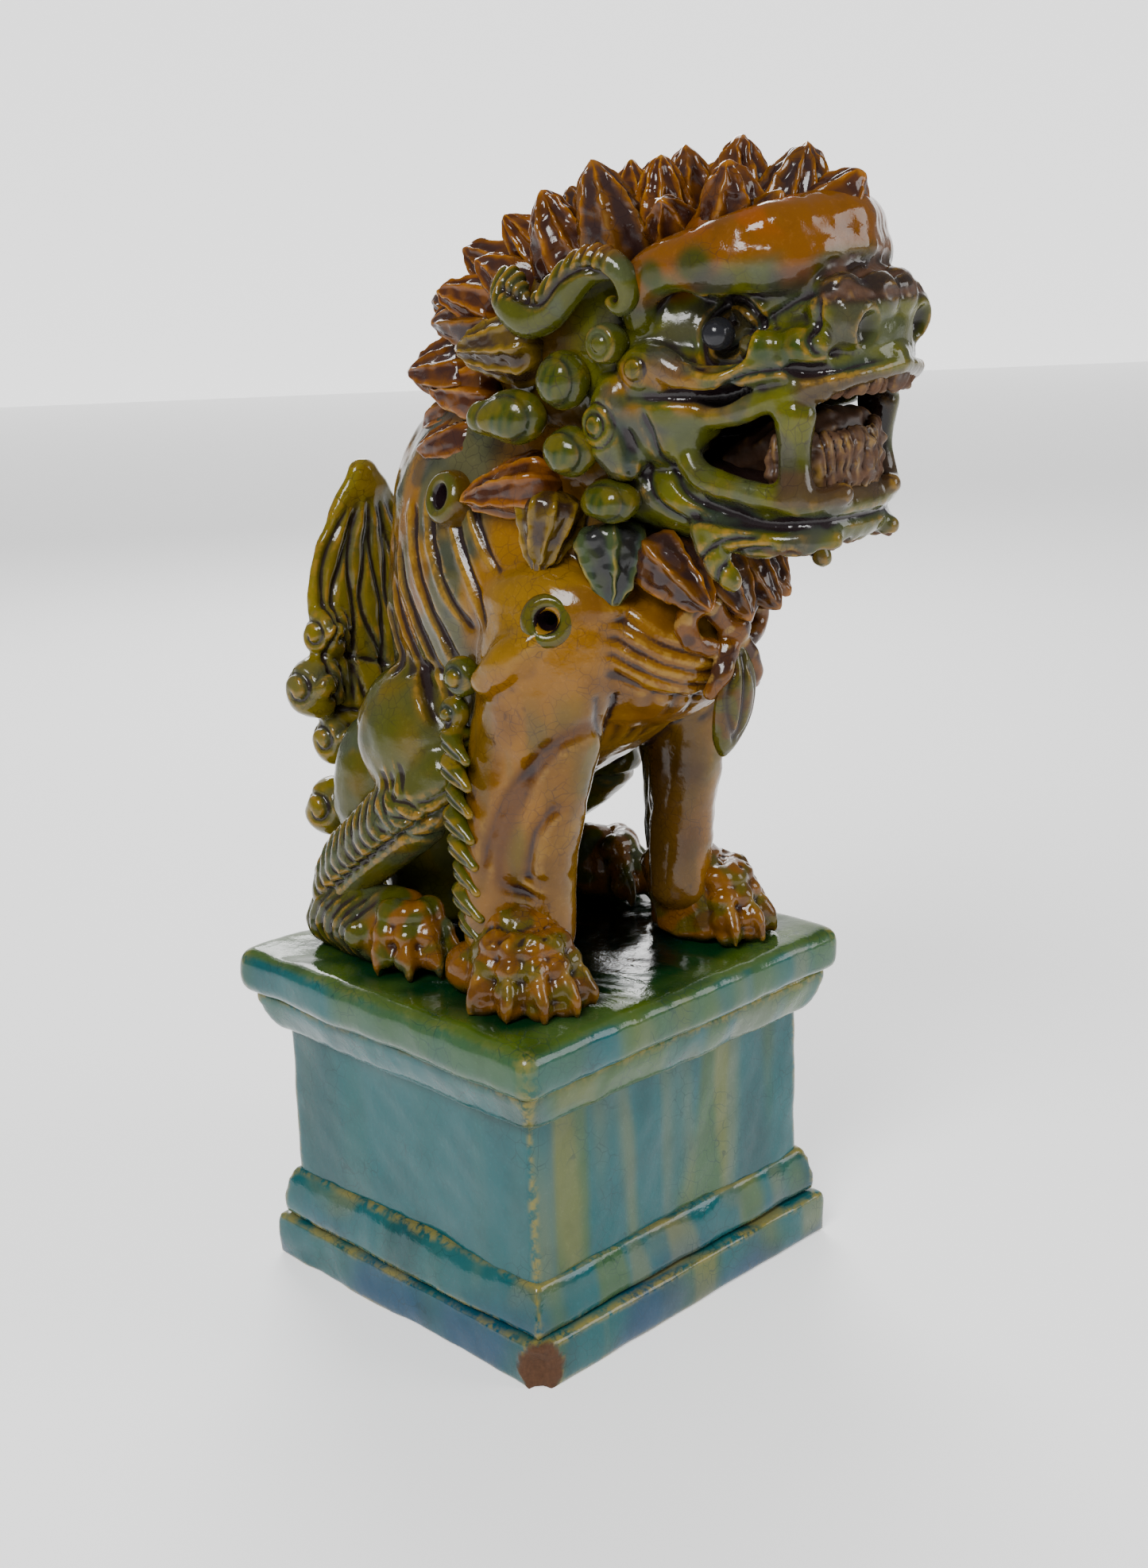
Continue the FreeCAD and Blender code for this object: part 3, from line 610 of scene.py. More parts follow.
ridge = ramp(np.abs(x - 2), 7, 3) * ramp(y, 8, 14) * ramp(z, 168, 174)
body.wash(AMBER, ridge)
shadowed = ramp(np.abs(x), 24, 10) * ramp(z, 140, 120) * ramp(y, 20, 5)
body.wash(AUBERGINE, shadowed * 0.8)
lion_glaze = lead_glaze("honey_lead_glaze", 420.0, 0.45, AUBERGINE, shade(176, 140, 84))
body.set_down(lion_glaze, "amber_glaze", [
    "torso_right_half", "torso_left_half", "neck_ring", "spine_crest", "front_leg_right", "front_leg_left",
    "haunch_right", "haunch_left", "hind_shin_right", "hind_shin_left", "shoulder_knobs", "collar_strap",
])

# ---- head ----------------------------------------------------------------------------------------
# A hollow ball of clay with the brow, snout, cheeks and jaw built up on it by hand. The mouth is cut right through
# between the fangs. Places are across, forward and up from the head's own axis, and the head turns a little left.
HEAD_AT, HEAD_TURN = (2.0, -40.0, 0.0), 6.0


def facing(*rows):
    """Rows of across, forward, up and sizes, as x, y, z and sizes for a head that faces -Y."""
    return [(row[0], -row[1]) + tuple(row[2:]) for row in rows]


def both(rows):
    """The same rows for the lion's right and left."""
    return [mirror(rows, side) for side in (-1, 1)]


head = Clay("lion_head", 0.58, soften=4)
head.ball((0, 3, 213.5), (23.5, 36, 24), detail=4)
head.ball((0, -29, 231), (20.5, 20.5, 11), detail=4)
head.roll(facing((0, 26, 209, 18.5, 8, 11), (0, 36, 211.5, 17, 7, 9.6), (0, 45, 214.5, 15.2, 6, 8.8),
                 (0, 52, 217, 13.4, 5, 8)), pace=0.15)
head.roll(facing((0, 6, 188, 19, 12, 12), (0, 20, 184.5, 18, 9, 9.5), (0, 32, 182.8, 17, 8, 8.6),
                 (0, 42, 183, 16, 6, 7.6), (0, 46.5, 183.5, 14.8, 4.5, 6.8)), pace=0.15)
for rows in both(facing((14.5, 14, 204, 9.5, 14, 13))):
    head.ball(rows[0][:3], rows[0][3:])
# Strips luted on each side of the face, from the brow down to the beard, then the nose and the muzzle.
HEAD_ROLLS = [
    ((20, 12.5, 219.5, 3.2), (20.5, 13.5, 225, 4.4), (20.4, 20, 229, 5.2), (18.6, 30, 230, 6.2),
     (13, 40.5, 230, 6.4), (0, 45, 231, 6.4)),
    ((19, 30, 232, 5), (14, 39, 234, 6), (0, 44, 235.5, 7)),
    ((21, 12, 211, 3.4), (21.5, 18, 211.5, 3.6), (21, 24, 208.8, 3.0), (20, 31, 208.6, 2.6),
     (18.6, 37, 209.6, 2.3), (17.4, 43, 210.4, 2.2)),
    ((21, 8, 205, 5.0), (21.5, 6, 198, 5.4), (20.5, 9, 192, 4.0)),
    ((17.2, 20.5, 195, 2.6), (17.6, 24, 200.5, 2.6), (17.6, 33, 202.6, 2.6), (16, 42, 205.6, 2.4),
     (13.4, 49, 206.5, 2.4)),
    ((17.2, 20.5, 195, 2.6), (17.8, 24, 190.6, 2.7), (17.6, 31, 188.4, 2.6), (16.8, 39, 187, 2.5),
     (14.6, 46, 186, 2.3), (8, 50, 187, 2.2)),
    ((16.4, 24, 180, 3.2), (16.6, 27, 174, 3.0), (15.8, 30, 170, 2.0)),
    ((16.4, 25, 181, 3.2), (16.2, 34, 178.5, 3.4), (14.6, 42, 178.5, 3.0), (10, 48.5, 178.6, 2.4)),
    ((9.2, 50, 221, 5.8, 6, 6.4), (9, 53.5, 218, 5.8, 4.6, 6.0)),
    ((3.5, 50, 223.5, 5, 5, 4.4), (3, 55, 222, 5, 3.8, 5.2)), ((9, 34, 221, 6, 6, 6), (7, 46, 222.5, 6, 6, 5)),
    ((14.8, 43, 206.6, 2.6), (13.4, 48.5, 208, 3.0), (10.4, 52.6, 209.4, 3.2), (0, 55.6, 210.8, 3.4)),
    ((16.6, 38.2, 214.2, 3.4, 4.0, 3.3), (16.2, 39.6, 214.2, 3.4, 4.0, 3.3)),
    ((15.0, 45.6, 214, 4.0, 4.8, 3.9), (14.6, 47.2, 213.8, 4.0, 4.8, 3.9)),
]
for strip in HEAD_ROLLS:
    for rows in both(facing(*strip)):
        head.roll(rows)
for spot, size in (((20.6, 19.5, 227.6), 3.8), ((19.4, 27, 228.6), 5.2), ((18.8, 31, 228.8), 5.0),
                   ((22.6, 5.5, 200), 5.0), ((22, 14.6, 210.5), 4.4)):
    for side in (-1, 1):
        head.ball((side * spot[0], -spot[1], spot[2]), (size * 0.9, size, size))
for k in range(6):
    for side in (-1, 1):
        head.ball((side * (22.2 - 0.25 * k), -(19.5 + 2.3 * k), 209.6 - 0.3 * k), (1.9, 1.25, 2.4))
head.ball((0, -52.5, 223), (6.5, 4.2, 4.0))
head.roll(facing((0, 30, 180, 15, 8, 5), (0, 43, 181, 12.5, 5, 4.5)))
for rows in both(facing((14.6, 43.6, 186.5, 3.6, 4.2, 4), (14.4, 43.4, 194, 2.9, 3.2, 4),
                        (14.6, 43.6, 203, 3.8, 4.6, 4))):
    head.roll(rows)
    head.ball((rows[2][0] * 1.12, -42.5, 202.6), (2.2, 2.6, 2.6))
for side in (-1, 1):
    head.ball((side * 22.2, -30.8, 216.8), (4.0, 4.0, 3.8), carve=True)
    head.ball((side * 9.4, -59.0, 216.6), (3.8, 5.4, 4.3), carve=True)
head.ball((0, -31.4, 195.4), (26, 9.4, 3.3), carve=True)
head.roll(facing((0, 16, 195, 10, 6, 3), (0, 30, 195.4, 11, 6, 3.4), (0, 44, 197.4, 11.5, 6, 4.4),
                 (0, 58, 199, 15, 6, 5)), carve=True)
head.knead()

x, y, z = head.co.T
f = -y
cheek = ramp(np.abs(head.no[:, 0]), 0.1, 0.35)
anywhere = np.ones(len(x))
# Grooves as points of y and z, with a width and a depth.
HEAD_GROOVES = [
    (((-10, 205), (-20, 205.4), (-28, 205), (-32.5, 206.2), (-36, 209.4), (-42, 210.6), (-48, 209.8),
      (-54, 211), (-60, 212)), 1.15, -1.5),
    (((-20, 182.5), (-28, 182.6), (-38, 181.8), (-46, 182), (-54, 182.4)), 1.1, -1.2),
    (((-24, 186), (-27, 184.8), (-38, 182.6)), 0.8, -0.4),
    (((-23, 169.5), (-25, 175), (-31, 178.8), (-39, 179.8)), 0.7, -0.9),
    (((-27, 169), (-30, 174), (-35, 177), (-42, 177.6)), 0.7, -0.9),
    (((-49.2, 223.5), (-48.5, 217), (-51, 212)), 0.9, -1.1),
    (((-28, 213.2), (-33, 216), (-40, 220.4), (-47, 223.5), (-56, 225.5)), 1.0, -0.9),
    (((-9, 203), (-11.6, 197), (-11.6, 190), (-15, 184), (-22, 180.6)), 1.0, -0.7),
    (((-14.5, 204), (-16.6, 198), (-16.8, 192), (-21, 186.6), (-28, 184.2), (-36, 183)), 0.9, -0.8),
]
marks = np.zeros(len(x))
for path, width, depth in HEAD_GROOVES:
    marks += head.score(path, width, depth, (1, 2), cheek if path[-1][0] > -50 else anywhere * ramp(f, -5, 5))
EYE_FORWARD, EYE_UP = 30.5, 216.5
ring_gap = np.hypot(f - EYE_FORWARD, z - EYE_UP)
for radius, height in ((4.7, 0.7), (6.2, -0.6), (7.4, 0.4)):
    head.lift += height * np.exp(-(((ring_gap - radius) / 0.7) ** 2)) * cheek
for centre, radii in (((14.6, 210.5), (2.6,)), ((5.5, 200), (2.4, 4.4))):
    gap = np.hypot(f - centre[0], z - centre[1])
    for radius in radii:
        head.lift -= 0.5 * np.exp(-(((gap - radius) / 0.55) ** 2)) * cheek
# Short strokes round the edge of the chin.
for k in range(15):
    turn = math.radians(-84 + 12 * k)
    place = np.array((15.5 * math.sin(turn), -36 - 12 * math.cos(turn)))
    gap = np.hypot(x - place[0], y - place[1])
    head.lift -= 0.8 * np.exp(-((gap / 0.75) ** 2)) * ramp(z, 173, 175) * ramp(z, 182, 179.5) * ramp(f, 30, 36)
head.press()
top_nose = ramp(z, 221.6, 223.4) * ramp(z, 231, 228.5) * ramp(f, 47.5, 50)
broken_jaw = ramp(z, 177.6, 176.4) * ramp(f, 34, 40)
nose_chips = top_nose * head.patches(5, 110, -0.4, 0.5) * 0.75
jaw_chips = broken_jaw * head.patches(5, 111, -0.6, 0.1)
head.bare = np.clip(nose_chips + jaw_chips, 0, 1)
head.lift += 0.5 * cloud(head.co, 3.2, 112) * head.bare - 0.5 * head.bare
head.lift += 0.16 * cloud(head.co, 10, 113) + 0.06 * cloud(head.co, 4, 114)
head.press()
x, y, z = head.co.T
f = -y
head.wash(OLIVE)
head.wash(GREY_GREEN, head.patches(13, 120, 0.0, 0.7) * 0.55)
head.wash(shade(112, 112, 26), head.patches(9, 121, 0.15, 0.7) * 0.6)
head.wash(shade(132, 88, 24), ramp(z + 0.12 * (50 - f) + 2.5 * cloud(head.co, 12, 122), 226.5, 230.5) * ramp(f,
    8, 14))
head.wash(ORANGE, ramp(z, 232, 238) * head.patches(10, 123, -0.3, 0.5) * 0.7)
head.wash(AMBER, ramp(np.abs(z - 207), 7, 3) * ramp(f, 6, 12) * ramp(f, 34, 26) * head.patches(8, 124, -0.6,
    0.3) * 0.75)
head.wash(BROWN, ramp(f, 4, -6) * 0.7)
for centre, radius in (((29, 229), 5.2), ((19.5, 227.6), 3.8), ((46, 213.6), 3.8), ((39.5, 214), 3.0),
                       ((5.5, 200), 3.2), ((14.6, 210.5), 3.0)):
    gap = np.hypot(f - centre[0], z - centre[1])
    head.wash(shade(46, 66, 14), ramp(gap, radius, radius * 0.4) * cheek * 0.85)
swell = ((head.blur(head.co, 14) - head.co) * head.no).sum(1)
face = ramp(f, -2, 8) * ramp(z, 232, 226)
head.wash(shade(140, 126, 36), ramp(-swell, 0.05, 0.5) * face * head.patches(8, 126, -0.7, 0.0) * 0.65)
# Painted shade: slate grey laid in the face's hollows, where shadow falls.
head.wash(SLATE, ramp(swell, 0.03, 0.4) * face * 0.8)
head.wash(shade(66, 62, 70), head.patches(11, 127, 0.1, 0.7) * face * 0.5)
# Painted shade: each eye socket darkened to brown inside its outer ring, under the brow.
head.wash(shade(64, 54, 44), ramp(ring_gap, 7.5, 5.0) * cheek * 0.8)
head.wash(SLATE, np.clip(marks, 0, 1) * 0.85)
head.wash(shade(52, 42, 36), ramp(z, 220.4, 222.4) * ramp(z, 231, 228.5) * ramp(f, 46, 49.5))
# Painted shade: the inside of the mouth darkened nearly to black.
mouth_shade = ramp(np.abs(x), 15.5, 12.5) * ramp(z, 186, 189) * ramp(z, 206, 203)
head.wash(shade(34, 24, 22), mouth_shade * ramp(f, 56, 50))
lips = ramp(np.abs(z - 188.5), 4.5, 2.5) * ramp(f, 40, 43) + ramp(np.abs(z - 206.5), 3.4, 2) * ramp(f, 44, 47)
head.wash(shade(84, 64, 50), lips * 0.8)
head.set_down(lion_glaze, "amber_glaze", [
    "head_shell", "snout", "nose", "lower_jaw", "brow_right", "brow_left", "cheek_bosses", "beard",
], HEAD_TURN, HEAD_AT)

# ---- ears ----------------------------------------------------------------------------------------
# Each ear is one flat ribbon of clay, waved and rolled over at the front tip, luted flat on the side of the head.
# It is ribbed with the edge of a stick along the top before glazing.
EAR = facing((25, -15, 227, 2.4, 3.4, 3.0), (26.5, -13.4, 223.6, 3.4, 4.6, 4.2),
             (27, -9.5, 220.4, 3.8, 4.2, 4.2),
             (27, -4.5, 221.4, 3.6, 4.0, 4.2), (27, 0, 225.2, 3.4, 4.0, 4.2), (26.5, 4.6, 229, 3.2, 3.8, 3.8),
             (26, 9.2, 230, 3.0, 3.4, 3.4), (25.5, 13, 227.8, 2.8, 2.8, 2.8), (25, 14, 224.2, 2.4, 2.2, 2.2),
             (24.8, 12.2, 221.8, 2.2, 1.9, 1.7), (24.8, 10.2, 222.8, 2, 1.5, 1.4))
EAR_GROOVE = ((14, 226), (9, 224.2), (3.5, 223), (-1.5, 227.2), (-7, 229), (-11, 226.6), (-11.8, 223.8))
SIDES = ((-1, "right"), (1, "left"))
for side, name in SIDES:
    ear = Clay("ear_" + name, 0.42, soften=3)
    ear.roll(mirror(EAR, side), pace=0.12)
    ear.ball((side * 24.6, -8.2, 215.3), (3.4, 3.9, 3.9))
    ear.knead()
    x, y, z = ear.co.T
    gap, along = ear.near(EAR_GROOVE, (1, 2))
    ear.lift -= 1.1 * np.exp(-((gap / 0.8) ** 2))
    above = z - np.interp(-y, [-20, -12, -4, 4, 14], [220, 222.5, 221.5, 227.5, 226.5])
    rib = 0.5 + 0.5 * np.cos(2 * math.pi * (y + 0.35 * z) / 2.3)
    band = ramp(above, 0.8, 2.4) * ramp(-y, 14, 9)
    ear.lift += 0.55 * (rib - 0.5) * band
    spot = np.hypot(y + 8.2, z - 215.3)
    ear.lift += 0.5 * np.exp(-(((spot - 3.0) / 0.6) ** 2)) - 0.3 * np.exp(-(((spot - 1.9) / 0.5) ** 2))
    ear.press()
    ear.wash(OLIVE)
    ear.wash(GREY_GREEN, ear.patches(8, 130, 0, 0.6) * 0.6)
    ear.wash(shade(150, 120, 45), band * ramp(rib, 0.4, 0.9) * 0.6)
    ear.wash(shade(60, 58, 22), band * ramp(rib, 0.5, 0.1) * 0.7)
    ear.wash(ORANGE, ramp(z, 230, 233.5) * 0.5)
    ear.wash(AUBERGINE, np.exp(-((gap / 1.0) ** 2)) * 0.75)
    ear.set_down(lion_glaze, "amber_glaze", ["ear_" + name], HEAD_TURN, HEAD_AT)

# ---- teeth and tongue ----------------------------------------------------------------------------
# Strips of clay pressed along the gums, with the teeth scored in them. Thin brown slip, with little glaze on it.
# The front teeth are worn down and chipped.
teeth = Clay("teeth", 0.42, soften=3)
teeth.roll([(12.6 * math.sin(a), -36.6 - 12.6 * math.cos(a), 191.4 + 1.6 * math.cos(a), 1.9, 1.9, 6.4)
            for a in np.radians(np.arange(-84, 85, 12))])
teeth.roll([(14.4 * math.sin(a), -43.5 - 12.4 * math.cos(a), 206.4 + 1.4 * math.cos(a), 1.5, 1.5, 2.5)
            for a in np.radians(np.arange(-84, 85, 12))])
teeth.knead()
x, y, z = teeth.co.T
fan = np.degrees(np.arctan2(x, -36 - y)) + 8 * cloud(teeth.co * (1, 1, 0.2), 9, 140)
gaps = np.abs(((fan / 9.5) % 1.0) - 0.5) * 2
teeth.lift -= 0.9 * ramp(gaps, 0.72, 0.95) * ramp(np.abs(z - 190), 0, 1.5)
teeth.lift += 0.45 * cloud(teeth.co, 3.0, 141) + 0.9 * cloud(teeth.co, 7, 142) * ramp(z, 193, 196) * ramp(z,
    203, 200)
teeth.press()
teeth.wash(shade(74, 54, 40))
teeth.wash(shade(54, 38, 32), teeth.patches(6, 143, -0.2, 0.5) * 0.8)
teeth.wash(BUFF, ramp(gaps, 0.35, 0.1) * teeth.patches(5, 144, -0.3, 0.4) * 0.7)
teeth.wash(BUFF, ramp(z, 188.6, 187.2) * 0.6)
teeth.bare = np.clip(0.55 + 0.4 * cloud(teeth.co, 5, 145), 0, 1)
teeth.set_down(lion_glaze, "brown_clay", ["upper_teeth", "lower_teeth", "fangs"], HEAD_TURN, HEAD_AT)

tongue = Clay("tongue", 0.5, soften=4)
tongue.roll(facing((0, 18, 189, 8, 6, 4), (0, 32, 194, 9.5, 6, 5.5), (0, 42, 197.5, 10, 5, 4.8),
                   (0, 45, 198.4, 9, 3, 3.6)))
tongue.knead()
tongue.lift += 0.6 * cloud(tongue.co, 5, 150)
tongue.press()
tongue.wash(shade(40, 30, 27))
tongue.bare += 0.5
tongue.set_down(lion_glaze, "brown_clay", ["tongue"], HEAD_TURN, HEAD_AT)

# ---- eyes ----------------------------------------------------------------------------------------
# A pellet of clay in each ringed socket, dipped in a near-black glaze, so that it shines like a bead.
for side, name in SIDES:
    eye = Clay("eye_" + name, 0.3, soften=6)
    eye.ball((side * 20.0, -30.8, 216.8), (3.1, 3.1, 3.1), detail=4)
    eye.ball((side * 20.9, -30.9, 216.8), (2.8, 2.8, 2.8), detail=4)
    eye.knead()
    eye.wash(shade(44, 44, 48))
    eye.set_down(lion_glaze, "dark_glaze", ["eyeball_" + name], HEAD_TURN, HEAD_AT)

# ---- smooth curls beside the face ----------------------------------------------------------------
# Plain round buds of clay between the cheek and the mane, each pressed on with a ring at its foot. Green glaze.
SIDE_BUDS = facing((25, -2.4, 208.3, 5.6, 5.6, 5.8), (25.4, -1.1, 194.8, 5.2, 5.8, 5.0),
                   (22, 5.8, 185.1, 5.4, 6.6, 4.4),
                   (25, -15.4, 201, 5.6, 7.6, 5.6))
buds = Clay("side_buds", 0.5, soften=4)
for side in (-1, 1):
    for bx, by, bz, rx, ry, rz in SIDE_BUDS:
        buds.ball((side * bx, by, bz), (rx, ry, rz))
    buds.roll(facing((side * 26, -16, 201, 4.6), (side * 26.4, -23.5, 200.6, 3.4)))
buds.knead()
x, y, z = buds.co.T
buds.wash(OLIVE)
rings = np.zeros(len(x))
for bx, by, bz, rx, ry, rz in SIDE_BUDS:
    gap = np.hypot((y - by) / ry, (z - bz) / rz)
    buds.lift -= 0.35 * np.exp(-(((gap - 0.86) / 0.07) ** 2))
    stripes = 0.5 + 0.5 * np.cos(2 * math.pi * (y + 0.3 * z) / 2.2)
    buds.wash(shade(44, 64, 16), ramp(gap, 0.75, 0.3) * stripes * 0.9)
    rings += np.exp(-(((gap - 0.8) / 0.1) ** 2))
buds.lift += 0.12 * cloud(buds.co, 5, 160)
buds.press()
buds.wash(SLATE, np.clip(rings, 0, 1) * 0.7)
buds.wash(shade(120, 108, 40), buds.patches(7, 161, 0.2, 0.7) * 0.6)
buds.set_down(lion_glaze, "green_glaze", ["side_tufts"], HEAD_TURN, HEAD_AT)

# ---- mane ----------------------------------------------------------------------------------------
# Small cones of clay, pinched to a point and luted on in rows from the brow to the neck. Each has ribs that run to
# its tip: the glaze runs off them and leaves them pale, and pools dark between them.


def curl(tip, way, radius, length, ribs, seed, colours):
    """One ribbed cone: its points, faces, colours, and how deep each point lies."""
    rng = np.random.default_rng(seed)
    around, down = 84, 34
    way = np.array(way, float) / np.linalg.norm(way)
    side = np.cross(way, (0.31, 0.17, 0.93) if abs(way[2]) < 0.9 else (0, 1, 0))
    side /= np.linalg.norm(side)
    other = np.cross(way, side)
    t = np.linspace(0, 1, down)[:, None] ** 1.25
    phi = np.linspace(0, 2 * math.pi, around, endpoint=False)[None, :]
    twist = rng.uniform(-0.5, 0.5) * (1 - t)
    phase = (phi + twist + rng.uniform(0, 6)) * ribs / (2 * math.pi)
    phase = phase + 0.12 * np.sin(2 * phi + rng.uniform(0, 6))
    ridge = np.exp(-((np.abs((phase % 1.0) - 0.5) / 0.155) ** 2))
    shape = radius * (0.3 * t + 0.7 * (1 - (1 - t) ** 2) ** 0.62) * np.sqrt(np.clip(1 - np.clip((t - 0.7) / 0.3,
        0, 1) ** 2.2, 0.015, 1))
    shape = shape * (1 + 0.07 * np.sin(phi * 2 + rng.uniform(0, 6)) + 0.05 * np.sin(phi * 3 + rng.uniform(0,
        6)))
    show = ramp(t, 0.02, 0.2) * (1 - 0.7 * ramp(t, 0.82, 1.0))
    out = shape + radius * (0.14 * ridge - 0.06) * show
    bend = radius * rng.uniform(-0.22, 0.22, 2) * (1 - t[..., None]) ** 2
    centre = np.array(tip) - way * length * t[..., None] + bend[..., :1] * side + bend[..., 1:] * other
    co = centre + out[..., None] * (np.cos(phi)[..., None] * side + np.sin(phi)[..., None] * other)
    co = co.reshape(-1, 3)
    co += (0.03 * radius * np.vstack([cloud(co + k * 40, 3.2, seed + k) for k in range(3)]).T)
    flat = lambda a: (a * np.ones((down, around))).ravel()
    ridge, t, show = flat(ridge), flat(t), flat(show)
    body_colour, valley, edge = colours
    speck = cloud(co, 4.5, seed + 9)
    tint = np.tile(np.array(body_colour, float), (len(co), 1))
    tint += (valley - tint) * (ramp(ridge, 0.6, 0.15) * ramp(speck, -0.7, 0.1) * 0.85)[:, None]
    tint += (edge - tint) * (ramp(ridge, 0.75, 0.98) * ramp(t, 0.9, 0.4) * ramp(speck, -0.3, 0.3) * 0.8)[:,
        None]
    tint += (edge - tint) * (ramp(t, 0.07, 0.0) * 0.8)[:, None]
    faces = []
    for i in range(down - 1):
        for j in range(around):
            k = (j + 1) % around
            faces.append((i * around + j, (i + 1) * around + j, (i + 1) * around + k, i * around + k))
    faces.append(tuple(range(around)))
    faces.append(tuple(reversed([(down - 1) * around + j for j in range(around)])))
    pool = (0.1 - 0.2 * ridge) * show - 0.08 * ramp(t, 0.12, 0.0)
    return co, faces, tint, pool, 1.4 * ramp(t, 0.55, 1.0) - 0.5


def curls(name, rows, material, nodes, colours, seed, turn=HEAD_TURN, at=HEAD_AT):
    """Cones in one piece. Each row is tip, way it points, radius, length and ribs."""
    points, faces, tints, pools, hollows, count = [], [], [], [], [], 0
    for k, (tip, way, radius, length, ribs) in enumerate(rows):
        own = colours[k % len(colours)]
        co, cone, tint, pool, hollow = curl(tip, way, radius, length, ribs, seed + 13 * k, own)
        faces += [tuple(v + count for v in face) for face in cone]
        count += len(co)
        points.append(co), tints.append(tint), pools.append(pool), hollows.append(hollow)
    mesh = bpy.data.meshes.new(name)
    mesh.from_pydata(np.vstack(points).tolist(), [], faces)
    solid = bmesh.new()
    solid.from_mesh(mesh)
    bmesh.ops.recalc_face_normals(solid, faces=solid.faces)
    solid.to_mesh(mesh)
    solid.free()
    obj = bpy.data.objects.new(name, mesh)
    bpy.context.collection.objects.link(obj)
    place = Matrix.Translation(Vector(at)) @ Matrix.Rotation(math.radians(turn), 4, "Z")
    bare = np.zeros(count)
    finish_piece(obj, place, material, nodes, np.vstack(tints), np.hstack(pools), np.hstack(hollows),
                 bare)


def cone(across, forward, up, way, radius, length, ribs=9):
    """A cone by its tip, in the head's own directions."""
    return (across, -forward, up), (way[0], -way[1], way[2]), radius * 1.08, length, ribs


mane_glaze = lead_glaze("mane_lead_glaze", 300.0, 0.5, AUBERGINE, BUFF)
BROWN_CURL = (shade(124, 80, 28), shade(84, 56, 46), shade(190, 130, 70))
AMBER_CURL = (shade(148, 96, 24), shade(84, 48, 30), shade(206, 150, 84))
DARK_CURL = (shade(116, 78, 38), shade(70, 54, 52), shade(180, 122, 62))
STRAW_CURL = (shade(126, 104, 40), shade(78, 60, 44), shade(196, 156, 90))
GREEN_CURL = (shade(72, 84, 56), shade(44, 52, 54), shade(170, 156, 96))
crown = [
    cone(0, 23, 252.3, (0, 0.1, 1), 8.2, 19), cone(0, 37.5, 250, (0, 0.25, 1), 8.2, 18),
    cone(0, 10, 251, (0, 0, 1), 7, 16), cone(0, -5, 249, (0, -0.12, 1), 6.6, 16),
    cone(1, 49.5, 243.4, (0.15, 0.75, 0.75), 7.6, 15, 5), cone(0, -19, 245, (0, -0.4, 1), 6.8, 16),
    cone(0, -33, 239, (0, -0.8, 0.7), 6.8, 17), cone(0, -45, 229.5, (0, -1, 0.45), 6.6, 17),
    cone(0, -53, 218, (0, -1, 0.15), 6.6, 17), cone(0, -55, 205.5, (0, -1, -0.1), 6.4, 17),
]
curls("mane_crown", crown, mane_glaze, ["mane_crown_row"],
      [BROWN_CURL, DARK_CURL, BROWN_CURL, AMBER_CURL], 1200)
for side, name in SIDES:
    upper = [
        cone(side * 14, 29, 247.6, (side * 0.3, 0.1, 1), 7.2, 16, 7),
        cone(side * 10.5, 9.8, 249.2, (side * 0.2, 0, 1), 6.6, 15, 9),
        cone(side * 10, -5.5, 248.8, (side * 0.2, -0.1, 1), 6.4, 15),
        cone(side * 19.4, 2.6, 248.6, (side * 0.32, -0.05, 1), 7.8, 22, 7),
        cone(side * 19.5, -13, 243.2, (side * 0.35, -0.35, 1), 6.8, 18, 7),
        cone(side * 11.5, -26, 240.5, (side * 0.3, -0.6, 0.8), 6.6, 17),
        cone(side * 12, -39, 233, (side * 0.3, -0.9, 0.5), 6.6, 17),
        cone(side * 13, -49, 222.5, (side * 0.3, -1, 0.25), 6.6, 17),
        cone(side * 13.5, -53.5, 210, (side * 0.3, -1, 0.0), 6.4, 17),
        cone(side * 12, -54, 197.5, (side * 0.25, -1, -0.15), 6.4, 17),
        cone(side * 20, 18.9, 242, (side * 0.75, 0.25, 0.8), 5.4, 12, 6),
        cone(side * 13.5, 40.2, 240.4, (side * 0.5, 0.7, 0.75), 5.6, 13, 4),
    ]
    curls("mane_upper_" + name, upper, mane_glaze, ["mane_upper_row_" + name],
          [BROWN_CURL, AMBER_CURL, BROWN_CURL, DARK_CURL], 1500)
    lower = [
        cone(side * 20.5, -29, 230.4, (side * 0.4, -0.75, 0.45), 6.4, 16, 7),
        cone(side * 19.5, -39.6, 226, (side * 0.35, -0.9, 0.3), 6.4, 17),
        cone(side * 20.5, -41.8, 219.6, (side * 0.45, -0.95, 0.1), 6.6, 17, 7),
        cone(side * 19, -50.4, 209, (side * 0.35, -1, 0.1), 6.4, 17, 7),
        cone(side * 20.5, -43.5, 206, (side * 0.45, -0.95, 0.1), 6.6, 17, 6),
        cone(side * 19, -49.5, 193.8, (side * 0.4, -1, -0.05), 6.6, 18, 7),
        cone(side * 27, -29.4, 215.2, (side * 0.3, -1, 0.05), 7.4, 21, 9),
        cone(side * 26, -30, 185, (side * 0.3, -1, -0.12), 7.4, 23, 8),
    ]
    curls("mane_side_" + name, lower, mane_glaze, ["mane_side_row_" + name],
          [BROWN_CURL, AMBER_CURL, DARK_CURL, BROWN_CURL, AMBER_CURL, BROWN_CURL, STRAW_CURL, AMBER_CURL], 1800)
ruff = []
for side in (-1, 1):
    ruff += [
        cone(side * 25.5, -9.4, 169.8, (side * 0.25, 0, -1), 7.8, 17, 9),
        cone(side * 21.5, 5.8, 164, (side * 0.3, 0.35, -1), 8.0, 17, 6),
        cone(side * 15, 23.5, 163.6, (side * 0.15, 0.8, -0.6), 7.2, 20, 6),
        cone(side * 4.5, 26, 160.5, (side * 0.1, 0.7, -0.8), 6.6, 18, 6),
    ]
curls("neck_curls", ruff, mane_glaze, ["neck_ruff"],
      [STRAW_CURL, GREEN_CURL, DARK_CURL, DARK_CURL], 2100)

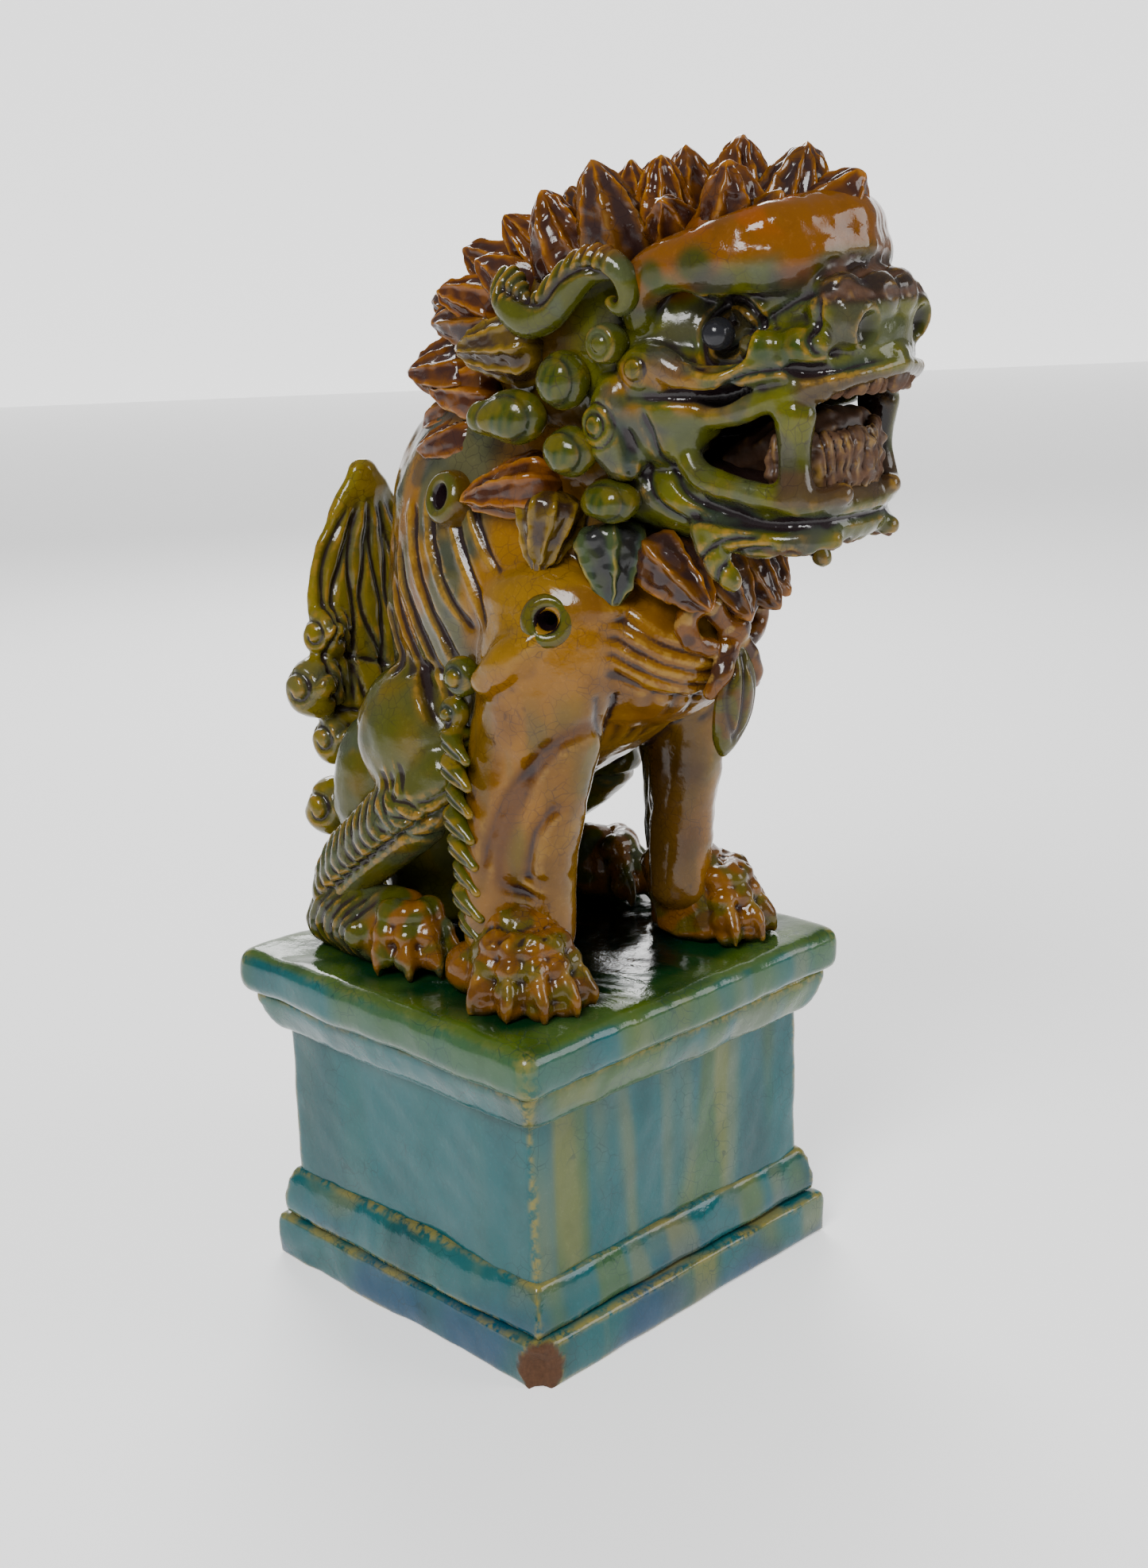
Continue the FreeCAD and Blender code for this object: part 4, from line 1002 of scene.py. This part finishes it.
# ---- paws and claws ------------------------------------------------------------------------------
# The feet are lumps of clay beaten on to the slab, with round knuckles, and claws that hook down over its top.
# Honey glaze, with the knuckles rubbed pale.
PAW = [(25.5, -22.5, 95, 9.5, 9.5, 6), (28, -24.5, 87, 10.5, 12, 8), (29, -26, 81, 12, 12.5, 4)]
PAW_TOES, PAW_REACH = np.radians((-28, 2, 32, 62, 95)), np.array((10.5, 12.5))
FOOT = [
    (31.5, 35, 84.5, 7, 6.5, 7), (32, 29, 87, 8, 8, 9.5), (31.5, 19, 86, 8.5, 9, 9.5),
    (31, 12, 86.5, 8.5, 8.5, 9.5), (31, 8, 85, 9, 7.5, 8),
]
FOOT_TOES, FOOT_REACH = np.radians((-20, 14, 48, 84)), np.array((8.0, 10.5))
for side, name in SIDES:
    paw = Clay("front_paw_" + name, 0.5, soften=5)
    paw.roll(mirror(PAW, side))
    paw_lines = []
    for a in PAW_TOES:
        out = np.array((side * math.sin(a), -math.cos(a)))
        base = np.array((side * 29, -26.5))
        for reach, height, size in ((0.62, 92.4, 3.9), (0.8, 88.5, 3.6), (0.95, 84, 3.7), (1.02, 81, 3.2)):
            spot = base + out * PAW_REACH * reach
            paw.ball((*spot, height), (size, size, size * 0.95))
        tip = [base + out * PAW_REACH * reach for reach in (1.08, 1.28, 1.33)]
        paw.roll([(*tip[0], 85.6, 2.1), (*tip[1], 82.8, 1.5), (*tip[2], 79.6, 0.7)])
        paw_lines.append([(*(base + out * PAW_REACH * r), h) for r,
                          h in ((0.95, 89.5), (1.12, 86.6), (1.24, 84.4))])
    paw.ball((side * 32, -14, 84), (6.5, 6, 6))
    paw.knead()
    marks = 0
    for path in paw_lines:
        marks = marks + paw.score(path, 0.9, 0.35)
    for k in range(4):
        arc = [(-15 - 6.5 * k, 94), (-18 - 6.5 * k, 96.5), (-21 - 6.5 * k, 94)]
        paw.score(arc, 0.8, -0.6, (1, 2), ramp(side * paw.no[:, 0], 0.1, 0.4))
    paw.lift += 0.22 * cloud(paw.co, 6, 170)
    paw.press()
    x, y, z = paw.co.T
    paw.wash(shade(134, 92, 22))
    paw.wash(OLIVE, paw.patches(9, 171, 0.0, 0.6) * 0.75)
    paw.wash(BROWN, paw.patches(7, 172, 0.2, 0.7) * 0.7)
    paw.wash(BUFF, np.clip(marks, 0, 1) * 0.6)
    # Painted shadow: the bottom of the paw, where it meets the slab, darkened.
    paw.wash(shade(34, 44, 30), ramp(z, 81.5, 79) * 0.8)
    claws = ["front_claws"] if side < 0 else []
    paw.set_down(lion_glaze, "amber_glaze", ["front_paw_" + name] + claws)
for side, name in SIDES:
    foot = Clay("hind_foot_" + name, 0.55, soften=5)
    foot.roll(mirror(FOOT, side))
    foot.ball((side * 38.5, 18, 86.5), (4.2, 4.6, 4.2))
    for a in FOOT_TOES:
        out = np.array((side * math.sin(a), -math.cos(a)))
        base = np.array((side * 31, 9))
        for reach, height, size in ((0.6, 92, 3.7), (0.85, 88, 3.4), (1.0, 83.5, 3.4)):
            foot.ball((*(base + out * FOOT_REACH * reach), height), (size, size, size))
        tip = [base + out * FOOT_REACH * reach for reach in (1.1, 1.28, 1.32)]
        foot.roll([(*tip[0], 85.5, 2), (*tip[1], 82.6, 1.4), (*tip[2], 79.6, 0.7)])
    foot.knead()
    outer = ramp(side * foot.no[:, 0], 0.0, 0.35)
    marks = 0
    for k in range(7):
        arc = [(38 - 3.6 * k, 78), (41 - 3.6 * k, 84), (39 - 3.6 * k, 90), (34 - 3.6 * k, 95)]
        marks = marks + foot.score(arc, 0.9, -0.8, (1, 2), outer)
    foot.lift += 0.2 * cloud(foot.co, 6, 180)
    foot.press()
    x, y, z = foot.co.T
    foot.wash(OLIVE)
    foot.wash(GREY_GREEN, foot.patches(10, 181, 0, 0.6) * 0.7)
    foot.wash(shade(140, 94, 26), ramp(y, 17, 10) * foot.patches(8, 182, -0.5, 0.3) * 0.9)
    foot.wash(AUBERGINE, np.clip(marks, 0, 1) * 0.6)
    # Painted shadow: the bottom of the foot, where it meets the slab, darkened.
    foot.wash(shade(34, 44, 30), ramp(z, 81.5, 79) * 0.8)
    claws = ["hind_claws"] if side < 0 else []
    foot.set_down(lion_glaze, "amber_glaze", ["hind_foot_" + name] + claws)

# ---- fringe behind the front legs ----------------------------------------------------------------
# Locks of hair down the back of each front leg: rolled scrolls at the elbow, then crescents one below another.
for side, name in SIDES:
    fringe = Clay("leg_fringe_" + name, 0.45, soften=3)
    fringe.ball((side * 31, -14.5, 148), (3.8, 4.4, 4.4))
    fringe.ball((side * 31.5, -12, 140), (3.4, 3.6, 3.6))
    for k in range(8):
        level = 133.5 - 5.7 * k
        lean = 0.25 * max(k - 3, 0)
        fat = 1.0 + 0.16 * math.sin(2.3 * k)
        fringe.roll([(side * 29.5, -12.5, level + 0.8, 2.5 * fat),
                     (side * (33 - lean), -12.5 - lean, level + 1.4, 2.9 * fat),
                     (side * (35.2 - lean), -15.5 - lean, level + 0.4, 2.1 * fat),
                     (side * (35.8 - lean), -20 - lean, level - 2.2, 1.0)])
    fringe.knead()
    marks = 0
    for centre, size in (((-14.5, 148), 2.7), ((-12, 140), 2.0)):
        ring = [(centre[0] + size * math.cos(a), centre[1] + size * math.sin(a)) for a in np.arange(0, 6, 0.8)]
        marks = marks + fringe.score(ring, 0.7, -0.8, (1, 2))
    for k in range(8):
        level = 133.5 - 5.7 * k
        marks = marks + fringe.score([(-7.5, level + 0.6), (-13.5, level + 1.2), (-19.5, level - 2)], 0.6, -0.6,
                                     (1, 2))
    fringe.press()
    fringe.wash(OLIVE)
    fringe.wash(shade(140, 118, 44), fringe.patches(6, 190, 0.1, 0.6) * 0.8)
    fringe.wash(SLATE, np.clip(marks, 0, 1) * 0.8)
    fringe.set_down(lion_glaze, "green_glaze", ["leg_fringe_" + name])

# ---- tail ----------------------------------------------------------------------------------------
# A flame-shaped plume that stands up behind the back, with scrolls of hair down both of its edges.
tail = Clay("tail", 0.6, soften=5)
tail.roll([(-3, 44, 86, 9, 8, 8), (-3, 45, 100, 12, 8, 8), (-3, 46, 120, 15, 8, 8), (-4, 48.5, 140, 18, 6, 8),
           (-4.5, 49.5, 154, 17.8, 4.2, 8),
           (-4.5, 49.5, 165, 14.8, 3.8, 7), (-4.5, 48, 175, 9.8, 3.4, 6), (-5, 47, 183, 4.5, 2.8, 4)], pace=0.2)
TAIL_SCROLLS = ((15, 47, 148, 6.4), (20, 46.5, 136, 7.6), (15.5, 46, 123, 6.4), (18, 45.5, 107, 7.4),
                (17.5, 44.5, 91.5, 7.2))
for side in (-1, 1):
    for across, y0, z0, size in TAIL_SCROLLS:
        tail.ball((-3.5 + side * across, y0, z0), (size, size * 0.85, size))
        tail.ball((-3.5 + side * (across + 1.5), y0 - 2, z0 + 1.5), (size * 0.6, size * 0.8, size * 0.6))
tail.roll([(0, 26, 120, 7), (-1, 36, 112, 8), (-2, 42, 104, 8)])
tail.knead()
marks = 0
for k in range(-4, 5):
    sway = 1.6 if k % 2 else -1.6
    path = [(-4 + 4.0 * k, 128), (-4 + 4.2 * k + sway, 141), (-4.5 + 4.0 * k - sway * 0.6, 153),
            (-4.5 + 3.1 * k + sway * 0.4, 165), (-5 + 1.0 * k, 180)]
    marks = marks + tail.score(path, 0.85, -1.0, (0, 2))
for side in (-1, 1):
    for across, y0, z0, size in TAIL_SCROLLS:
        turns = [(-3.5 + side * across + size * (0.85 - 0.12 * k) * math.cos(0.9 * k) * side,
                  z0 + size * (0.85 - 0.12 * k) * math.sin(0.9 * k))
                 for k in range(8)]
        marks = marks + tail.score(turns, 0.75, -0.9, (0, 2))
        outer = ramp(side * tail.no[:, 0], 0.25, 0.6)
        coil = [(y0 - 1 + size * (0.8 - 0.11 * k) * math.cos(0.95 * k),
                 z0 + size * (0.8 - 0.11 * k) * math.sin(0.95 * k)) for k in range(8)]
        marks = marks + tail.score(coil, 0.7, -0.9, (1, 2), outer)
        low = [(-3.5 + side * across * (0.9 - 0.3 * k), z0 - 5 - 1.5 * k) for k in range(4)]
        marks = marks + tail.score(low, 0.8, -0.8, (0, 2))
tail.lift += 0.25 * cloud(tail.co, 9, 200)
tail.press()
tail.wash(shade(136, 122, 56))
tail.wash(GREY_GREEN, tail.patches(12, 201, 0.0, 0.6) * 0.5)
tail.wash(shade(134, 108, 44), ramp(tail.co[:, 2], 160, 180) * tail.patches(10, 202, -0.2, 0.5) * 0.6)
tail.wash(SLATE, np.clip(marks, 0, 1) * 0.6)
tail.set_down(lion_glaze, "brown_glaze", ["tail_plume", "tail_curls"])

# ---- rings for the sticks ------------------------------------------------------------------------
# A collar of clay round each of the four holes that take an incense stick, two on each side. Green glaze.
ring_profile = [(2.15, -7), (2.15, 0.4), (2.6, 1.5), (3.7, 2.1), (5.0, 1.6), (5.7, 0.2), (6.1, -2.5), (6.4, -7)]
for side, name in ((1, "right"), (-1, "left")):
    for (spot, way), level in zip(SOCKETS, ("front", "back")):
        spot, way = np.array(spot) * (side, 1, 1), Vector(np.array(way) * (side, 1, 1)).normalized()
        frame_turn = way.to_track_quat("Z", "Y").to_matrix().to_4x4()
        spin, count = 56, len(ring_profile)
        angles = np.linspace(0, 2 * math.pi, spin, endpoint=False)
        points = [(r * math.cos(a), r * math.sin(a), h) for a in angles for r, h in ring_profile]
        faces = [(i * count + j, ((i + 1) % spin) * count + j, ((i + 1) % spin) * count + (j + 1) % count,
                  i * count + (j + 1) % count)
                 for i in range(spin) for j in range(count)]
        mesh = bpy.data.meshes.new("ring_" + name + "_" + level)
        mesh.from_pydata(points, [], faces)
        solid = bmesh.new()
        solid.from_mesh(mesh)
        bmesh.ops.recalc_face_normals(solid, faces=solid.faces)
        bmesh.ops.subdivide_edges(solid, edges=solid.edges, cuts=2, smooth=1.0, use_grid_fill=True)
        solid.to_mesh(mesh)
        solid.free()
        ring = bpy.data.objects.new(mesh.name, mesh)
        bpy.context.collection.objects.link(ring)
        co = np.array([tuple(v.co) for v in mesh.vertices])
        gap = np.hypot(co[:, 0], co[:, 1])
        inside = ramp(gap, 3.1, 2.3)[:, None]
        tint = OLIVE + (shade(96, 90, 40) - OLIVE) * ramp(cloud(co + side * 9, 4, 210), -0.2, 0.5)[:, None]
        # Painted shade: the inside of each hole darkened nearly to black, in its colour and its pooled glaze.
        tint = tint + (shade(22, 28, 26) - tint) * inside
        tint = tint + (BROWN - tint) * (ramp(gap, 4.6, 6.0) * 0.7)[:, None]
        lift_off = 2.4 if level == "front" else 3.4
        place = Matrix.Translation(Vector(spot) + way * lift_off) @ frame_turn
        finish_piece(ring, place, lion_glaze, ["socket_boss_" + name + "_" + level], tint,
                     0.3 * inside[:, 0] - 0.06, 0.4 * np.ones(len(co)), np.zeros(len(co)))

# ---- bow and pendant on the collar ---------------------------------------------------------------
# A knot of clay ribbon on the breast, with two rolled loops, and a leaf-shaped drop that hangs from it.
bow = Clay("collar_bow", 0.42, soften=3)
bow.ball((1, -61, 158), (3.8, 3.6, 3.8))
for side in (-1, 1):
    bow.roll([(1 + side * 3, -61, 160, 2.2), (1 + side * 7, -60.5, 164, 2.4),
              (1 + side * 10.5, -58.5, 162, 2.4), (1 + side * 10, -58.5, 157, 2.3),
              (1 + side * 6, -60, 155, 2.0)])
    bow.roll([(1 + side * 2, -61.5, 155, 2.4), (1 + side * 4.5, -62, 150, 2.2),
              (1 + side * 6.5, -60.5, 146, 1.6)])
bow.knead()
bow.lift += 0.2 * cloud(bow.co, 5, 220)
bow.press()
bow.wash(shade(118, 78, 24))
bow.wash(AUBERGINE, bow.patches(5, 221, 0, 0.6) * 0.7)
bow.wash(BUFF, bow.patches(4, 222, 0.5, 0.9) * 0.5)
bow.set_down(lion_glaze, "green_glaze", ["collar_bow"])
drop = Clay("collar_pendant", 0.42, soften=3)
drop.roll([(1, -61.5, 153, 2.6, 2.4, 2.6), (0.5, -62, 147.5, 5.2, 3.0, 4.5), (0, -61.5, 141.5, 5.4, 3.0, 4.5),
           (-0.5, -60, 136, 3.4, 2.4, 3), (-0.5, -59, 132.6, 1.2, 1.2, 1.4)])
drop.knead()
marks = drop.score([(1, 155), (0, 145), (-0.5, 134)], 0.8, -0.8, (0, 2))
for side in (-1, 1):
    marks = marks + drop.score([(side * 1.5, 152), (side * 4, 146), (side * 3.4, 140), (0, 134)], 0.7, -0.6,
                               (0, 2))
drop.press()
drop.wash(shade(88, 84, 42))
drop.wash(BROWN, drop.patches(6, 223, 0.0, 0.5) * 0.7)
drop.wash(AUBERGINE, np.clip(marks, 0, 1) * 0.7)
drop.set_down(lion_glaze, "green_glaze", ["collar_pendant"])

# ---- stage ---------------------------------------------------------------------------------------
# A plain pale floor under soft studio light, and a camera a little above the lion's eye, off its right shoulder.


def plain(name, glow, roughness):
    """A pale material that glows a little, so that the room reads as an even white."""
    material = bpy.data.materials.new(name)
    material.use_nodes = True
    surface = material.node_tree.nodes["Principled BSDF"].inputs
    surface["Base Color"].default_value = (0.9, 0.9, 0.9, 1)
    surface["Roughness"].default_value = roughness
    surface["Emission Color"].default_value = (1, 1, 1, 1)
    surface["Emission Strength"].default_value = glow
    return material


# name, corners in metres, glow, roughness
SHEETS = [
    ("floor", [(-6, -6, 0), (6, -6, 0), (6, 6, 0), (-6, 6, 0)], 0.5, 0.7),
    ("backdrop", [(0.6, 3.2, 0.0), (3.2, 0.6, 0.0), (3.2, 0.6, 2.6), (0.6, 3.2, 2.6)], 1.25, 0.5),
]
for name, corners, glow, roughness in SHEETS:
    mesh = bpy.data.meshes.new(name)
    mesh.from_pydata(corners, [], [(0, 1, 2, 3)])
    mesh.materials.append(plain("pale_" + name, glow, roughness))
    sheet = bpy.data.objects.new(name, mesh)
    bpy.context.collection.objects.link(sheet)

world = bpy.data.worlds.new("studio")
world.use_nodes = True
world.node_tree.nodes["Background"].inputs["Color"].default_value = (1.0, 1.0, 1.0, 1)
world.node_tree.nodes["Background"].inputs["Strength"].default_value = 0.32
bpy.context.scene.world = world

# name, place in metres, aim, size in metres, power in watts
LAMPS = [
    ("key", (-0.75, -0.35, 0.85), (0, 0, 0.16), 0.4, 12.0),
    ("fill", (0.55, -0.85, 0.45), (0, 0, 0.14), 0.5, 4.5),
    ("rim", (0.5, 0.7, 0.7), (0, 0, 0.18), 0.5, 7.0),
]
for name, place, aim, size, power in LAMPS:
    data = bpy.data.lights.new(name, "AREA")
    data.size, data.energy = size, power
    lamp = bpy.data.objects.new(name, data)
    lamp.location = place
    lamp.rotation_euler = (Vector(aim) - Vector(place)).to_track_quat("-Z", "Y").to_euler()
    bpy.context.collection.objects.link(lamp)

EYE_POINT = Vector((-0.2936, -0.3204, 0.2370))
LOOK, UP = Vector((0.6663, 0.6948, -0.2707)), Vector((0.2173, 0.1664, 0.9618))
camera_data = bpy.data.cameras.new("camera")
camera_data.lens, camera_data.sensor_width = 45.6, 36.0
camera = bpy.data.objects.new("camera", camera_data)
right = LOOK.cross(UP).normalized()
camera.matrix_world = Matrix.Translation(EYE_POINT) @ Matrix((right, right.cross(LOOK).normalized(),
                                                              -LOOK)).transposed().to_4x4()
bpy.context.collection.objects.link(camera)
bpy.context.scene.camera = camera
